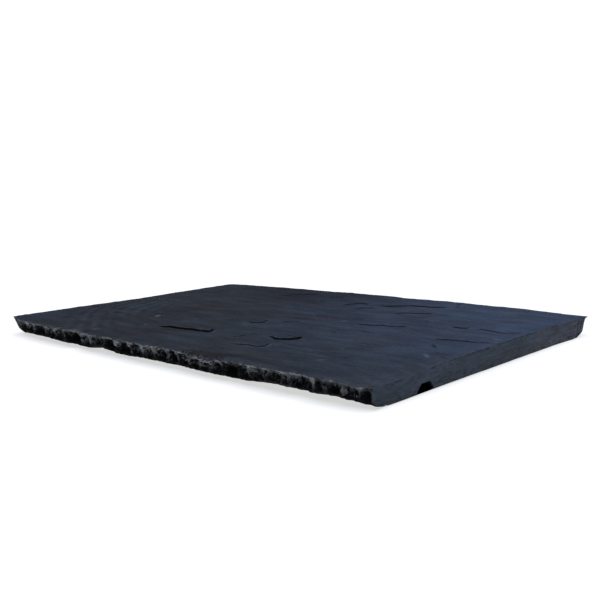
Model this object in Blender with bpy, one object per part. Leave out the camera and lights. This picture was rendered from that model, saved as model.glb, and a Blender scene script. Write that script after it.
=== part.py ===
"""A riven slate slab, 600 x 400 x 20 mm, modelled as one piece of stone.

Frame: +X along the slab's length, +Y across its width, +Z up. The origin is at
the middle of the underside, which is the flat bed face the slab rests on.

The top is a natural cleavage face, with low steps where thin layers have split
away. The front (-Y), back (+Y) and left (-X) sides are dressed by hand: a row
of scooped flake scars under a sharp, crushed arris, undercut towards a broken
lower edge. The right side (+X) is sawn nearly flat, and has one chip out of its
lower arris.
"""

import math

import bpy
import numpy as np

# ---------------------------------------------------------------- dimensions
MM = 0.001
LENGTH = 600.0  # mm, along X, between the sawn side and the dressed left side
WIDTH = 400.0  # mm, along Y, between the two dressed long sides
THICKNESS = 22.1  # mm, mean height of the riven top over the bed face

CELLS_X = 44  # cells of the top's inner grid along X
CELLS_Y = 30  # cells of the top's inner grid along Y
MARGIN = 20.0  # mm, width of the band between the nominal outline and that grid
TOP_BAND = (0.0, 0.22)  # the band's rings, as shares of its width from the arris
SIDE_RINGS = (1.0, 0.86, 0.58, 0.22, 0.07, 0.0)  # the sides' rings, by height
BED_MARGIN = 42.0  # mm, width of the border that is broken or hollow below
CORNER_REACH = 50.0  # mm over which one side's shape carries round a corner
FAR_CORNER_RADIUS = 14.0  # mm, the back left corner is worn round

CHIP_FROM, CHIP_TO = -134.0, -106.8  # mm, Y of the chip in the sawn side's lower arris
CHIP_SLOPES = (7.5, 5.5)  # mm over which its two ends rise
CHIP_HEIGHT = 9.0
CHIP_DEPTH = 11.0

FRONT, RIGHT, BACK, LEFT = range(4)
# Each side's first corner, its direction and its outward normal, anticlockwise.
SIDES = (
    ((-LENGTH / 2, -WIDTH / 2), (1.0, 0.0), (0.0, -1.0), LENGTH),
    ((LENGTH / 2, -WIDTH / 2), (0.0, 1.0), (1.0, 0.0), WIDTH),
    ((LENGTH / 2, WIDTH / 2), (-1.0, 0.0), (0.0, 1.0), LENGTH),
    ((-LENGTH / 2, WIDTH / 2), (0.0, -1.0), (-1.0, 0.0), WIDTH),
)

RIDGE = 1.6  # mm, half the width of the blunt ridge between two scars

# Flake scars on the front side: first and last X, depth of the scoop under the
# arris, bite out of the arris, and where along the scar it is deepest (0 to 1).
FRONT_SCARS = (
    (-303, -277, 3.2, 1.0, 0.5),
    (-277, -252, 3.6, 1.6, 0.5),
    (-252, -231, 3.4, 1.6, 0.5),
    (-231, -200, 4.4, 2.4, 0.4),
    (-200, -177, 4.2, 2.6, 0.6),
    (-177, -157, 4.6, 2.4, 0.5),
    (-157, -121, 5.6, 8.0, 0.75),
    (-121, -101, 4.8, 1.6, 0.4),
    (-101, -78, 4.6, 3.0, 0.5),
    (-78, -50, 5.4, 2.6, 0.6),
    (-50, -22, 6.0, 3.6, 0.4),
    (-22, 1, 3.8, 2.4, 0.5),
    (1, 20, 3.4, 2.0, 0.5),
    (20, 41, 4.8, 2.2, 0.5),
    (41, 58, 5.4, 2.4, 0.5),
    (58, 77, 6.0, 1.4, 0.5),
    (77, 95, 4.4, 2.0, 0.5),
    (95, 112, 2.2, 1.0, 0.5),
    (112, 125, 4.6, 2.6, 0.5),
    (125, 149, 6.2, 3.6, 0.5),
    (149, 164, 5.0, 1.6, 0.5),
    (164, 183, 4.0, 2.0, 0.5),
    (183, 208, 4.0, 1.6, 0.3),
    (208, 242, 3.8, 4.2, 0.4),
    (242, 253, 3.2, 1.4, 0.5),
    (253, 273, 5.0, 3.0, 0.5),
    (273, 289, 3.0, 1.4, 0.5),
    (289, 303, 4.2, 1.0, 0.4),
)

# Chips that lower the front arris: X, half width and drop.
CREST_CHIPS = ((-47, 6, 1.0), (79, 5.5, 1.0), (101, 8.5, 1.6), (112, 6, 0.8), (127, 10, 0.6))

# Steps of the cleavage face: the points a step runs through, the layer being
# higher on the left of its direction, then its height and the distance over
# which that layer falls back to the face behind it.
STEPS = (
    (((-84, -125), (-68, -125), (-53, -123), (-28, -121), (-5, -117), (10, -115), (-4, -98)), 2.2, 34),
    (((78, -92), (92, -100), (101, -102), (112, -98), (119, -90), (117, -77)), 1.85, 24),
    (((-7, -43), (6, -47), (15, -44), (11, -27)), 0.8, 18),
    (((25, -28), (36, -19), (50, -11)), 0.4, 20),
    (((47, -122), (55, -115), (55, -103)), 0.45, 16),
    (((72, -147), (88, -143), (98, -140), (111, -140), (116, -134), (111, -122)), 0.65, 20),
    (((86, -74), (104, -82), (121, -91)), 0.45, 14),
    (((51, -92), (65, -97)), 0.3, 12),
    (((-129, 126), (-113, 159), (-80, 166)), 0.55, 24),
    (((-63, 104), (-58, 121), (-31, 128)), 0.35, 20),
    (((-56, 152), (-32, 166)), 0.5, 20),
    (((6, 110), (12, 123), (20, 134), (36, 135)), 0.75, 22),
    (((38, 96), (47, 105), (59, 117)), 0.5, 18),
    (((43, 140), (65, 132), (90, 149), (118, 153), (140, 162)), 0.9, 30),
    (((102, 87), (117, 102), (151, 114)), 0.6, 22),
    (((104, 14), (124, 11), (141, 18), (164, 24), (177, 32)), 0.8, 26),
    (((141, -19), (160, -20), (169, -9)), 0.35, 16),
    (((180, -14), (210, -10)), 0.25, 16),
    (((114, -35), (130, -40)), 0.4, 14),
    (((214, 53), (225, 53), (235, 54)), 0.8, 16),
    (((236, 55), (250, 56), (264, 52), (281, 49), (295, 63)), 0.7, 24),
    (((228, -7), (242, -11), (259, -9), (280, -7), (299, 1)), 0.7, 28),
)

# Broad swells and hollows of the cleavage face: X, Y, reach along X, along Y,
# and height.
SWELLS = (
    (300, 205, 36, 42, -1.2),
    (-45, 210, 55, 60, 1.7),
    (110, 210, 72, 60, 1.9),
    (-210, 205, 60, 50, -0.5),
    (-300, 40, 45, 110, -0.6),
    (300, 50, 60, 60, 0.4),
    (300, -200, 26, 26, -2.4),
    (-110, 60, 110, 70, 0.4),
    (80, -60, 120, 60, -0.4),
    (-180, -110, 70, 50, 0.4),
    (15, 205, 26, 30, 1.2),
    (212, 205, 22, 30, 1.1),
    (-170, 205, 40, 30, 0.8),
    (303, -178, 15, 20, -2.0),
    (303, -150, 15, 22, -2.8),
    (303, -112, 14, 24, -1.4),
    (100, -212, 16, 28, -3.3),
    (79, -206, 8, 20, -1.0),
    (127, -208, 10, 22, -0.9),
)

# How the broken foot of the front side rises and falls: X, half length, lift.
FRONT_FOOT = (
    (-262, 20, 0.8), (-214, 30, 2.2), (-190, 8, 0.7), (-149, 8, 1.2), (-119, 7, -0.7), (-65, 10, 1.0),
    (-18, 10, 0.9), (4, 22, 1.3), (51, 8, 0.7), (74, 12, 0.4), (124, 12, 0.5), (172, 16, 1.0),
    (200, 14, -0.8), (228, 8, 1.6), (246, 6, 0.6), (281, 7, 1.2),
)


# ---------------------------------------------------------------- small tools
def smooth(x, low, high):
    t = np.clip((x - low) / (high - low), 0.0, 1.0)
    return t * t * (3.0 - 2.0 * t)


def lattice(ix, iy, seed):
    """A repeatable value from -1 to 1 for each whole-number cell."""
    n = (ix * 374761393 + iy * 668265263 + seed * 974634777) & 0xFFFFFFFF
    n = ((n ^ (n >> 13)) * 1274126177) & 0xFFFFFFFF
    n = (n ^ (n >> 16)) & 0xFFFFFF
    return n / float(0x7FFFFF) - 1.0


def noise(x, y, seed):
    """Smooth noise over the plane, one lump per unit, from -1 to 1."""
    x, y = np.broadcast_arrays(np.asarray(x, float), np.asarray(y, float))
    ix, iy = np.floor(x).astype(np.int64), np.floor(y).astype(np.int64)
    fx, fy = x - ix, y - iy
    fx, fy = fx * fx * (3 - 2 * fx), fy * fy * (3 - 2 * fy)
    low = lattice(ix, iy, seed) * (1 - fx) + lattice(ix + 1, iy, seed) * fx
    high = lattice(ix, iy + 1, seed) * (1 - fx) + lattice(ix + 1, iy + 1, seed) * fx
    return low * (1 - fy) + high * fy


def layered(x, y, seed, octaves):
    total, size = 0.0, 1.0
    for octave in range(octaves):
        total = total + size * noise(x * 2**octave, y * 2**octave, seed + octave)
        size *= 0.5
    return total


# ---------------------------------------------------------------- top surface
def step_height(x, y, points, height, fade):
    """One layer's edge: a sharp rise on one side, and a long fall on the other."""
    best = np.full(x.shape, 1e9)
    side = np.zeros(x.shape)
    along = np.zeros(x.shape)
    across = np.zeros(x.shape)
    lengths = [math.dist(a, b) for a, b in zip(points, points[1:])]
    total, passed = sum(lengths), 0.0
    for (ax, ay), (bx, by), length in zip(points, points[1:], lengths):
        ux, uy = (bx - ax) / length, (by - ay) / length
        t = np.clip((x - ax) * ux + (y - ay) * uy, 0.0, length)
        dx, dy = x - ax - t * ux, y - ay - t * uy
        d = np.hypot(dx, dy)
        cross = ux * dy - uy * dx
        nearer = (d < best - 1e-6) | ((d < best + 1e-6) & (np.abs(cross) > np.abs(across)))
        best = np.where(nearer, d, best)
        across = np.where(nearer, cross, across)
        side = np.where(nearer, np.sign(cross), side)
        along = np.where(nearer, passed + t, along)
        passed += length
    taper = smooth(along, 0.0, 0.3 * total) * smooth(total - along, 0.0, 0.12 * total)
    signed = best * side
    rise = smooth(signed, -0.9, 0.7)
    return height * taper * rise * np.exp(-((best / fade) ** 2))


def top_height(x, y):
    """Height of the cleavage face over the bed, in mm."""
    x, y = np.broadcast_arrays(np.asarray(x, float), np.asarray(y, float))
    h = np.full(x.shape, THICKNESS)
    for cx, cy, rx, ry, height in SWELLS:
        h = h + height * np.exp(-(((x - cx) / rx) ** 2) - ((y - cy) / ry) ** 2)
    wander_x = x + 9.0 * noise(x / 60, y / 45, 11)
    wander_y = y + 7.0 * noise(x / 70, y / 40, 12)
    h = h + 0.32 * layered(wander_x / 150, wander_y / 85, 21, 2)
    for number, (points, height, fade) in enumerate(STEPS):
        ragged_x = x + 1.6 * noise(x / 9, y / 9, 31 + number)
        ragged_y = y + 1.6 * noise(x / 9, y / 9, 61 + number)
        h = h + step_height(ragged_x, ragged_y, points, height, fade)
    return h


# ---------------------------------------------------------------- side shapes
def scars_of(side):
    """Each scar on a side as start, end, depth, bite and where it is deepest."""
    length = SIDES[side][3]
    if side == FRONT:
        return [(a + LENGTH / 2, b + LENGTH / 2, d, c, p) for a, b, d, c, p in FRONT_SCARS]
    if side == RIGHT:
        return []
    found, at, number = [], -3.0, 0
    while at < length + 2.0:
        size = 25.0 + 10.0 * float(lattice(number, side, 7))
        depth = 4.2 + 1.6 * float(lattice(number, side, 8))
        bite = 1.2 + 0.7 * float(lattice(number, side, 9))
        peak = 0.5 + 0.2 * float(lattice(number, side, 10))
        found.append((at, at + size, depth, bite, peak))
        at, number = at + size, number + 1
    return found


def scoop(s, first, last, peak):
    """Hollowness across one scar, 0 at the ridges on its two sides and 1 inside."""
    t = (s - first - RIDGE) / (last - first - 2 * RIDGE)
    u = np.where(t < peak, (t - peak) / peak, (t - peak) / (1 - peak))
    return np.where((t > 0) & (t < 1), 1.0 - np.abs(u) ** 2.1, 0.0)


def outline(side, s):
    """How far the top arris stands outside the nominal outline, in mm."""
    length = SIDES[side][3]
    if side == RIGHT:
        return -0.4 * smooth(s, 20, 120) + 1.2 * smooth(s, 330, 400) + 0.25 * noise(s / 14, 0, 41)
    if side == FRONT:
        line = 3.2 - 14.6 * np.exp(-s / 34.0) - 9.0 * np.exp(-((length - s) / 12.0) ** 2)
    elif side == BACK:
        line = 1.6 - 7.5 * smooth(s, length - 90, length)
    else:
        line = 1.5 + 1.5 * smooth(s, length - 120, length)
    line = line + (1.0 * noise(s / 38, side, 42) + 0.5 * noise(s / 9, side, 43)) * (1.0 if side == FRONT else 0.5)
    for first, last, _, bite, peak in scars_of(side):
        line = line - bite * scoop(s, first, last, peak)
    return line


def broken_foot(s):
    """Where the front side's lower edge has broken away highest, 0 to about 1."""
    return sum(
        size * np.exp(-(((s - at) / reach) ** 2))
        for at, reach, size in ((500, 24, 1.0), (560, 18, 0.8), (210, 16, 0.8))
    )


def foot_lift(s):
    """How far the front side's lower edge is lifted or let down, in mm."""
    return sum(lift * np.exp(-(((s - LENGTH / 2 - at) / half) ** 2)) for at, half, lift in FRONT_FOOT)


def leaning(side, s, h):
    """The place along a side that a point's scar is read at: the front's ridges lean on their way down."""
    s = np.asarray(s, float)
    ends = smooth(s, 0, 35) * smooth(SIDES[side][3] - s, 0, 35)
    lean = (7.0 - 4.0 * s / LENGTH) if side == FRONT else 0.0 * s
    return s + ends * (1 - h) * lean


def chip_reach(s):
    """How high the chip in the foot of the sawn side stands at each place along it."""
    y = s - WIDTH / 2
    rise = np.minimum((y - CHIP_FROM) / CHIP_SLOPES[0], (CHIP_TO - y) / CHIP_SLOPES[1])
    return CHIP_HEIGHT * np.clip(rise, 0.0, 1.0)


def hollow(side, s, h):
    """How far a side lies inside its arris at the height share h, in mm."""
    if side == RIGHT:
        flat = 0.5 * np.exp(-h / 0.05) + 0.3 * noise(s / 40, h * 2.0, 44) * (1 - h)
        inside = np.clip((chip_reach(s) - h * THICKNESS) / CHIP_HEIGHT, 0, 1)
        flat = flat + CHIP_DEPTH * smooth(inside, 0.0, 0.45) * smooth(h, 0.0, 0.06)
        # The far end is broken off unevenly.
        broken = smooth(s, 373, 379)
        return flat + broken * smooth(1 - h, 0.0, 0.1) * (0.7 + 0.3 * noise(s / 6, h * 1.5, 76))
    length = SIDES[side][3]
    ends = np.exp(-s / 40.0) + np.exp(-(length - s) / 40.0)
    lip = 2.6 * (1 - np.exp(-(1 - h) / 0.12)) + 4.6 * (1 - h)
    reach = 12.5 - 3.0 * ends + 2.2 * noise(s / 30, side, 45)
    top = 0.2
    if side == FRONT:
        top = 0.2 + 0.22 * broken_foot(s)
        reach = reach + 4.0 * broken_foot(s) + 2.5 * np.minimum(foot_lift(s), 0.0)
    total = lip + reach * np.clip((top - h) / top, 0, 1) ** 1.8
    if side == LEFT:
        total = total * (1 - 0.85 * smooth(s, length - 60, length - 5))
    place = leaning(side, s, h)
    for first, last, depth, bite, peak in scars_of(side):
        down = smooth(1 - h, 0.02, 0.26) * (1.0 - 0.95 * smooth(1 - h, 0.45, 0.85))
        total = total + 0.85 * depth * down * scoop(place, first, last, peak)
        # The bites in the arris die out on the way down, so the foot runs straighter.
        total = total - 0.9 * bite * smooth(1 - h, 0.4, 0.85) * scoop(s, first, last, peak)
    rough = 0.9 * noise(s / 7, h * 3.0, 46 + side) * smooth(1 - h, 0.0, 0.15)
    total = total + rough * smooth(h, 0.0, 0.1)
    # The left front corner batters evenly; at the right one the dressing stops flush with the sawn face.
    if side in (FRONT, LEFT):
        at_left = np.exp(-((s if side == FRONT else length - s) / 14.0) ** 2)
        batter = 6.2 * (1 - h) ** 0.95 + 3.5 * np.clip((0.3 - h) / 0.3, 0, 1) ** 1.3
        total = total * (1 - at_left) + batter * at_left
    if side == BACK:
        at_right = np.exp(-((s / 14.0) ** 2))
        batter = 5.5 * (1 - np.exp(-(1 - h) / 0.08)) + 8.5 * (1 - h) + 12.0 * np.clip((0.3 - h) / 0.3, 0, 1) ** 1.6
        total = total * (1 - at_right) + batter * at_right
    if side == FRONT:
        at_right = np.exp(-((length - s) / 5.0) ** 2)
        flush = -1.1 * smooth(1 - h, 0.03, 0.12) + 4.0 * smooth(1 - h, 0.55, 0.8) + 14.0 * np.clip((0.2 - h) / 0.2, 0, 1) ** 1.8
        total = total * (1 - at_right) + flush * at_right
    return total


def lower_edge(side, s):
    """How far the lower arris stands off the bed plane, in mm."""
    length = SIDES[side][3]
    if side == RIGHT:
        return 0.5 * smooth(s, 25, 120) * smooth(length - s, 15, 130) + 1.0 * np.exp(-((s / 14.0) ** 2))
    gap = 0.8 + 0.5 * noise(s / 45, side, 49)
    if side == FRONT:
        gap = gap + 0.7 + 1.2 * broken_foot(s) + foot_lift(s)
    return np.clip(gap, 0.0, None) * smooth(s, 0, 20) * smooth(length - s, 0, 20)


def crest_chips(side, s):
    """How much the chips on the front arris lower it, in mm."""
    if side != FRONT:
        return np.zeros(np.shape(s))
    return sum(drop * np.exp(-(((s - LENGTH / 2 - at) / half) ** 2)) for at, half, drop in CREST_CHIPS)


def arris_drop(side, s):
    """How far the crushed arris lies below the cleavage face, in mm."""
    if side == RIGHT:
        return 0.25 + 0.12 * noise(s / 11, 3, 47)
    share = 1.0 if side == FRONT else 0.15
    drop = (0.5 if side == FRONT else 0.15) + 0.25 * share * noise(s / 8, side, 48)
    for first, last, _, bite, peak in scars_of(side):
        drop = drop + 0.16 * share * bite * scoop(s, first, last, peak)
    return drop


# ---------------------------------------------------------------- whole shape
def round_corner(distance, radius):
    """Shift along a side, and inwards, that turns its last stretch into an arc."""
    angle = (math.pi / 4) * np.clip(distance / radius, 0.0, 1.0)
    turn = math.pi / 4 - angle
    near = distance < radius
    along = np.where(near, radius - radius * np.sin(turn) - distance, 0.0)
    inward = np.where(near, radius - radius * np.cos(turn), 0.0)
    return along, inward


def side_points(side, steps, h):
    """Plan points along one side at the height share h, first corner to last."""
    corner, direction, normal, length = SIDES[side]
    before, after = (side - 1) % 4, (side + 1) % 4
    s = np.arange(steps) * (length / steps)
    own = outline(side, s) - hollow(side, s, h)
    at_start = float(outline(before, SIDES[before][3]) - hollow(before, np.float64(SIDES[before][3]), h))
    at_end = float(outline(after, 0.0) - hollow(after, np.float64(0.0), h))
    fade_in = np.clip(1 - s / CORNER_REACH, 0, 1) ** 2
    fade_out = np.clip(1 - (length - s) / CORNER_REACH, 0, 1) ** 2
    along = s.copy()
    if side == BACK:
        shift, inward = round_corner(length - s, FAR_CORNER_RADIUS)
        along, own = along - shift, own - inward
    if side == LEFT:
        shift, inward = round_corner(s, FAR_CORNER_RADIUS)
        along, own = along + shift, own - inward
    out = own[:, None] * np.array(normal)
    out = out + (at_start * fade_in)[:, None] * np.array(SIDES[before][2])
    out = out + (at_end * fade_out)[:, None] * np.array(SIDES[after][2])
    return np.array(corner) + along[:, None] * np.array(direction) + out


def ring_points(h):
    """Plan points right round the slab at the height share h."""
    steps = (2 * CELLS_X, 2 * CELLS_Y, 2 * CELLS_X, 2 * CELLS_Y)
    return np.concatenate([side_points(k, steps[k], h) for k in range(4)])


def ring_values(function):
    """A side function's values right round the slab."""
    steps = (2 * CELLS_X, 2 * CELLS_Y, 2 * CELLS_X, 2 * CELLS_Y)
    return np.concatenate(
        [function(k, np.arange(n) * (SIDES[k][3] / n)) for k, n in enumerate(steps)]
    )


def slab_mesh():
    """Vertices in mm and faces of the whole closed slab."""
    points, faces = [], []

    def add(xy, z):
        start = len(points)
        points.extend(np.column_stack([xy, np.broadcast_to(z, len(xy))]).tolist())
        return start

    def bridge(outer, inner, count):
        for i in range(count):
            j = (i + 1) % count
            faces.append((outer + i, outer + j, inner + j, inner + i))

    # The inner grid of the top.
    half = np.array([LENGTH / 2 - MARGIN, WIDTH / 2 - MARGIN])
    gx = np.linspace(-half[0], half[0], CELLS_X + 1)
    gy = np.linspace(-half[1], half[1], CELLS_Y + 1)
    grid_x, grid_y = np.meshgrid(gx, gy)
    grid = add(
        np.column_stack([grid_x.ravel(), grid_y.ravel()]),
        top_height(grid_x, grid_y).ravel(),
    )

    def at(i, j):
        return grid + j * (CELLS_X + 1) + i

    for j in range(CELLS_Y):
        for i in range(CELLS_X):
            faces.append((at(i, j), at(i + 1, j), at(i + 1, j + 1), at(i, j + 1)))
    rim = (
        [at(i, 0) for i in range(CELLS_X)]
        + [at(CELLS_X, j) for j in range(CELLS_Y)]
        + [at(i, CELLS_Y) for i in range(CELLS_X, 0, -1)]
        + [at(0, j) for j in range(CELLS_Y, 0, -1)]
    )

    # The band of the top between the arris and the grid, twice as finely divided.
    count = 2 * len(rim)
    arris = ring_points(1.0)
    rim_points = np.array([points[k][:2] for k in rim])
    target = np.empty((count, 2))
    target[0::2] = rim_points
    target[1::2] = (rim_points + np.roll(rim_points, -1, axis=0)) / 2
    drop = ring_values(arris_drop)
    big_drop = ring_values(crest_chips)
    bands = []
    for share in TOP_BAND:
        plan = arris * (1 - share) + target * share
        gap = np.hypot(*(plan - arris).T)
        z = top_height(plan[:, 0], plan[:, 1]) - drop * np.exp(-((gap / 4.4) ** 2)) - big_drop * np.exp(-((gap / 9.0) ** 2))
        bands.append(add(plan, z))
    for outer, inner in zip(bands, bands[1:]):
        bridge(outer, inner, count)
    last = bands[-1]
    for k in range(len(rim)):
        a, b, c = last + 2 * k, last + 2 * k + 1, last + (2 * k + 2) % count
        near, far = rim[k], rim[(k + 1) % len(rim)]
        faces.extend([(a, b, near), (b, far, near), (b, c, far)])

    # The four sides, ring by ring down to the lower arris, then in to the bed.
    arris_z = np.array([points[bands[0] + i][2] for i in range(count)])
    low_z = ring_values(lower_edge)
    rings = [bands[0]]
    for h in SIDE_RINGS[1:]:
        rings.append(add(ring_points(h), low_z + (arris_z - low_z) * h))
    bed = np.array([LENGTH / 2 - BED_MARGIN, WIDTH / 2 - BED_MARGIN])
    rings.append(add(target * (bed / half), 0.0))
    for upper, lower in zip(rings, rings[1:]):
        bridge(lower, upper, count)

    # The flat bed face, and the slab centred over the origin.
    faces.append(tuple(rings[-1] + i for i in range(count - 1, -1, -1)))
    points = np.array(points)
    points[:, :2] -= (points[:, :2].min(axis=0) + points[:, :2].max(axis=0)) / 2
    return points, faces


def main():
    for item in list(bpy.data.objects):
        bpy.data.objects.remove(item, do_unlink=True)

    points, faces = slab_mesh()
    mesh = bpy.data.meshes.new("slate_slab")
    mesh.from_pydata([tuple(MM * c for c in p) for p in points], [], faces)
    mesh.update()
    mesh.shade_smooth()
    mesh.set_sharp_from_angle(angle=math.radians(32))

    slate = bpy.data.materials.new("riven_slate")
    slate.use_nodes = True
    shader = slate.node_tree.nodes["Principled BSDF"]
    shader.inputs["Base Color"].default_value = (0.022, 0.025, 0.031, 1.0)
    shader.inputs["Roughness"].default_value = 0.55
    shader.inputs["Metallic"].default_value = 0.0
    mesh.materials.append(slate)

    slab = bpy.data.objects.new("slate_slab", mesh)
    bpy.context.scene.collection.objects.link(slab)


main()
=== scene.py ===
"""The looks of the riven slate slab: a fine mesh of the whole stone, its materials, a pale floor, soft light and a camera."""

import math

import bpy
import numpy as np
from mathutils import Matrix, Vector


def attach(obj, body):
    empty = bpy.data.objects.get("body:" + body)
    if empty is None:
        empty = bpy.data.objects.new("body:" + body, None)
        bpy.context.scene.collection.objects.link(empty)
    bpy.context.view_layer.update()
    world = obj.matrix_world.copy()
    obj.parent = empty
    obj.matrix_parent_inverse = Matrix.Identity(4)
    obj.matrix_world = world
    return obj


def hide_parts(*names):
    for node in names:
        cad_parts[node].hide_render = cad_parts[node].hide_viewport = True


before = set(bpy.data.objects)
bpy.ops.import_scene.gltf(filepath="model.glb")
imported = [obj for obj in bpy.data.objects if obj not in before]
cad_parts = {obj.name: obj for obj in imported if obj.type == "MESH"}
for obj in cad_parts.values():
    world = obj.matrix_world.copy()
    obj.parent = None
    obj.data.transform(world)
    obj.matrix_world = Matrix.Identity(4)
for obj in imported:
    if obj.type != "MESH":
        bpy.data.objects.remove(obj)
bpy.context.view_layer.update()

# ---------------------------------------------------------------- dimensions, as in the CAD model
MM = 0.001
LENGTH = 600.0
WIDTH = 400.0
THICKNESS = 22.1

CAD_CELLS = (44, 30)
CAD_SIDE_RINGS = (1.0, 0.86, 0.58, 0.22, 0.07, 0.0)
CELLS_X, CELLS_Y = 240, 168
MARGIN = 20.0
TOP_BAND = (0.0, 0.03, 0.07, 0.12, 0.19, 0.28, 0.42, 0.66)
SIDE_RINGS = (1.0, 0.97, 0.935, 0.895, 0.85, 0.8, 0.74, 0.67, 0.6, 0.52, 0.44, 0.36, 0.28, 0.21, 0.15, 0.1, 0.05, 0.0)
BED_MARGIN = 42.0
CORNER_REACH = 50.0
FAR_CORNER_RADIUS = 14.0

RIDGE = 1.6  # half the width of the blunt ridge between two scars

CHIP_FROM, CHIP_TO = -134.0, -106.8
CHIP_SLOPES = (7.5, 5.5)
CHIP_HEIGHT = 9.0
CHIP_DEPTH = 11.0

FRONT, RIGHT, BACK, LEFT = range(4)
SIDES = (
    ((-LENGTH / 2, -WIDTH / 2), (1.0, 0.0), (0.0, -1.0), LENGTH),
    ((LENGTH / 2, -WIDTH / 2), (0.0, 1.0), (1.0, 0.0), WIDTH),
    ((LENGTH / 2, WIDTH / 2), (-1.0, 0.0), (0.0, 1.0), LENGTH),
    ((-LENGTH / 2, WIDTH / 2), (0.0, -1.0), (-1.0, 0.0), WIDTH),
)

# Flake scars on the front side: first and last X, depth, bite, where it is
# deepest, and how grey the broken stone inside is, from 0 black to 1.
FRONT_SCARS = (
    (-303, -277, 3.2, 1.0, 0.5, 0.20),
    (-277, -252, 3.6, 1.6, 0.5, 0.15),
    (-252, -231, 3.4, 1.6, 0.5, 0.40),
    (-231, -200, 4.4, 2.4, 0.4, 0.30),
    (-200, -177, 4.2, 2.6, 0.6, 0.35),
    (-177, -157, 4.6, 2.4, 0.5, 0.15),
    (-157, -121, 5.6, 8.0, 0.75, 0.20),
    (-121, -101, 4.8, 1.6, 0.4, 0.45),
    (-101, -78, 4.6, 3.0, 0.5, 0.20),
    (-78, -50, 5.4, 2.6, 0.6, 0.10),
    (-50, -22, 6.0, 3.6, 0.4, 0.10),
    (-22, 1, 3.8, 2.4, 0.5, 0.35),
    (1, 20, 3.4, 2.0, 0.5, 0.60),
    (20, 41, 4.8, 2.2, 0.5, 0.30),
    (41, 58, 5.4, 2.4, 0.5, 0.15),
    (58, 77, 6.0, 1.4, 0.5, 0.40),
    (77, 95, 4.4, 2.0, 0.5, 0.35),
    (95, 112, 2.2, 1.0, 0.5, 0.25),
    (112, 125, 4.6, 2.6, 0.5, 0.10),
    (125, 149, 6.2, 3.6, 0.5, 0.05),
    (149, 164, 5.0, 1.6, 0.5, 0.12),
    (164, 183, 4.0, 2.0, 0.5, 0.70),
    (183, 208, 4.0, 1.6, 0.3, 0.60),
    (208, 242, 3.8, 4.2, 0.4, 0.75),
    (242, 253, 3.2, 1.4, 0.5, 0.50),
    (253, 273, 5.0, 3.0, 0.5, 0.45),
    (273, 289, 3.0, 1.4, 0.5, 0.75),
    (289, 303, 4.2, 1.0, 0.4, 0.0),
)

# Crushed stretches of the front arris: first and last X, height, paleness.
FRONT_CREST = (
    (-256, -246, 2.4, 0.9), (-247, -236, 1.4, 0.5), (-234, -210, 1.7, 0.6),
    (-190, -178, 1.2, 0.45), (-174, -168, 1.6, 0.5), (-157, -150, 2.2, 0.7),
    (-150, -125, 1.6, 0.65), (-119, -104, 1.6, 0.55), (-98, -88, 1.2, 0.5),
    (-82, -56, 1.8, 0.65), (-46, -32, 1.0, 0.45), (-30, -16, 1.8, 0.85),
    (-15, -9, 1.2, 0.5), (-9, 4, 2.0, 0.85), (4, 15, 1.8, 0.65),
    (16, 29, 2.2, 0.9), (33, 45, 1.8, 0.5), (50, 66, 1.7, 0.9),
    (66, 72, 1.2, 0.5), (79, 93, 2.4, 0.95), (93, 100, 2.4, 0.7),
    (99, 107, 2.6, 0.95), (107, 112, 1.6, 0.5), (112, 118, 2.4, 1.0),
    (118, 128, 1.6, 0.65), (130, 135, 1.4, 0.75), (143, 156, 1.3, 0.6),
    (160, 172, 2.2, 0.85), (173, 186, 2.0, 0.85), (187, 200, 1.4, 0.5),
    (200, 211, 2.2, 0.9), (213, 222, 2.0, 0.85), (222, 234, 1.7, 0.95),
    (234, 245, 2.6, 0.85), (249, 253, 1.2, 0.4), (256, 271, 1.8, 0.85),
    (274, 283, 1.6, 0.8), (284, 295, 1.7, 0.7),
)

# Crushed points that hang down a ridge: X at the arris, half width there,
# length, paleness, and how far the point leans along X.
FRONT_TEETH = (
    (-274, 2.6, 3.5, 0.8, 0.0), (-250, 3.4, 6.0, 1.2, 0.0), (-229, 1.8, 6.0, 0.4, -2.0),
    (-198, 3.8, 7.0, 1.3, 0.5), (-175, 3.6, 6.0, 0.9, -1.0), (-155, 2.0, 6.0, 0.6, -2.0),
    (-133, 3.0, 4.0, 0.8, -1.0), (-119, 2.2, 5.0, 0.7, 0.0), (-100, 2.8, 13.0, 1.1, -4.0),
    (-77, 2.2, 7.0, 0.6, -3.0), (-49, 4.6, 9.0, 1.3, -1.0), (-21, 3.0, 7.0, 0.8, -3.0),
    (2, 2.8, 13.0, 1.1, -5.0), (21, 2.6, 6.0, 0.7, -2.0), (42, 2.2, 6.0, 0.6, -3.0),
    (59, 2.6, 5.0, 0.8, -2.0), (78, 2.2, 8.0, 0.7, -4.0), (96, 2.2, 8.0, 0.7, -4.0),
    (112, 2.6, 5.0, 0.9, -2.0), (165, 2.2, 7.0, 0.45, -2.0), (184, 2.0, 7.0, 0.45, -2.0),
    (209, 1.8, 8.0, 0.55, -3.0), (242, 2.4, 6.0, 0.65, -3.0), (274, 1.0, 7.0, 0.45, -1.0),
)

# Chips that lower the front arris: X, half width, drop.
CREST_CHIPS = ((-47, 6, 1.0), (79, 5.5, 1.0), (101, 8.5, 1.6), (112, 6, 0.8), (127, 10, 0.6))

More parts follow.
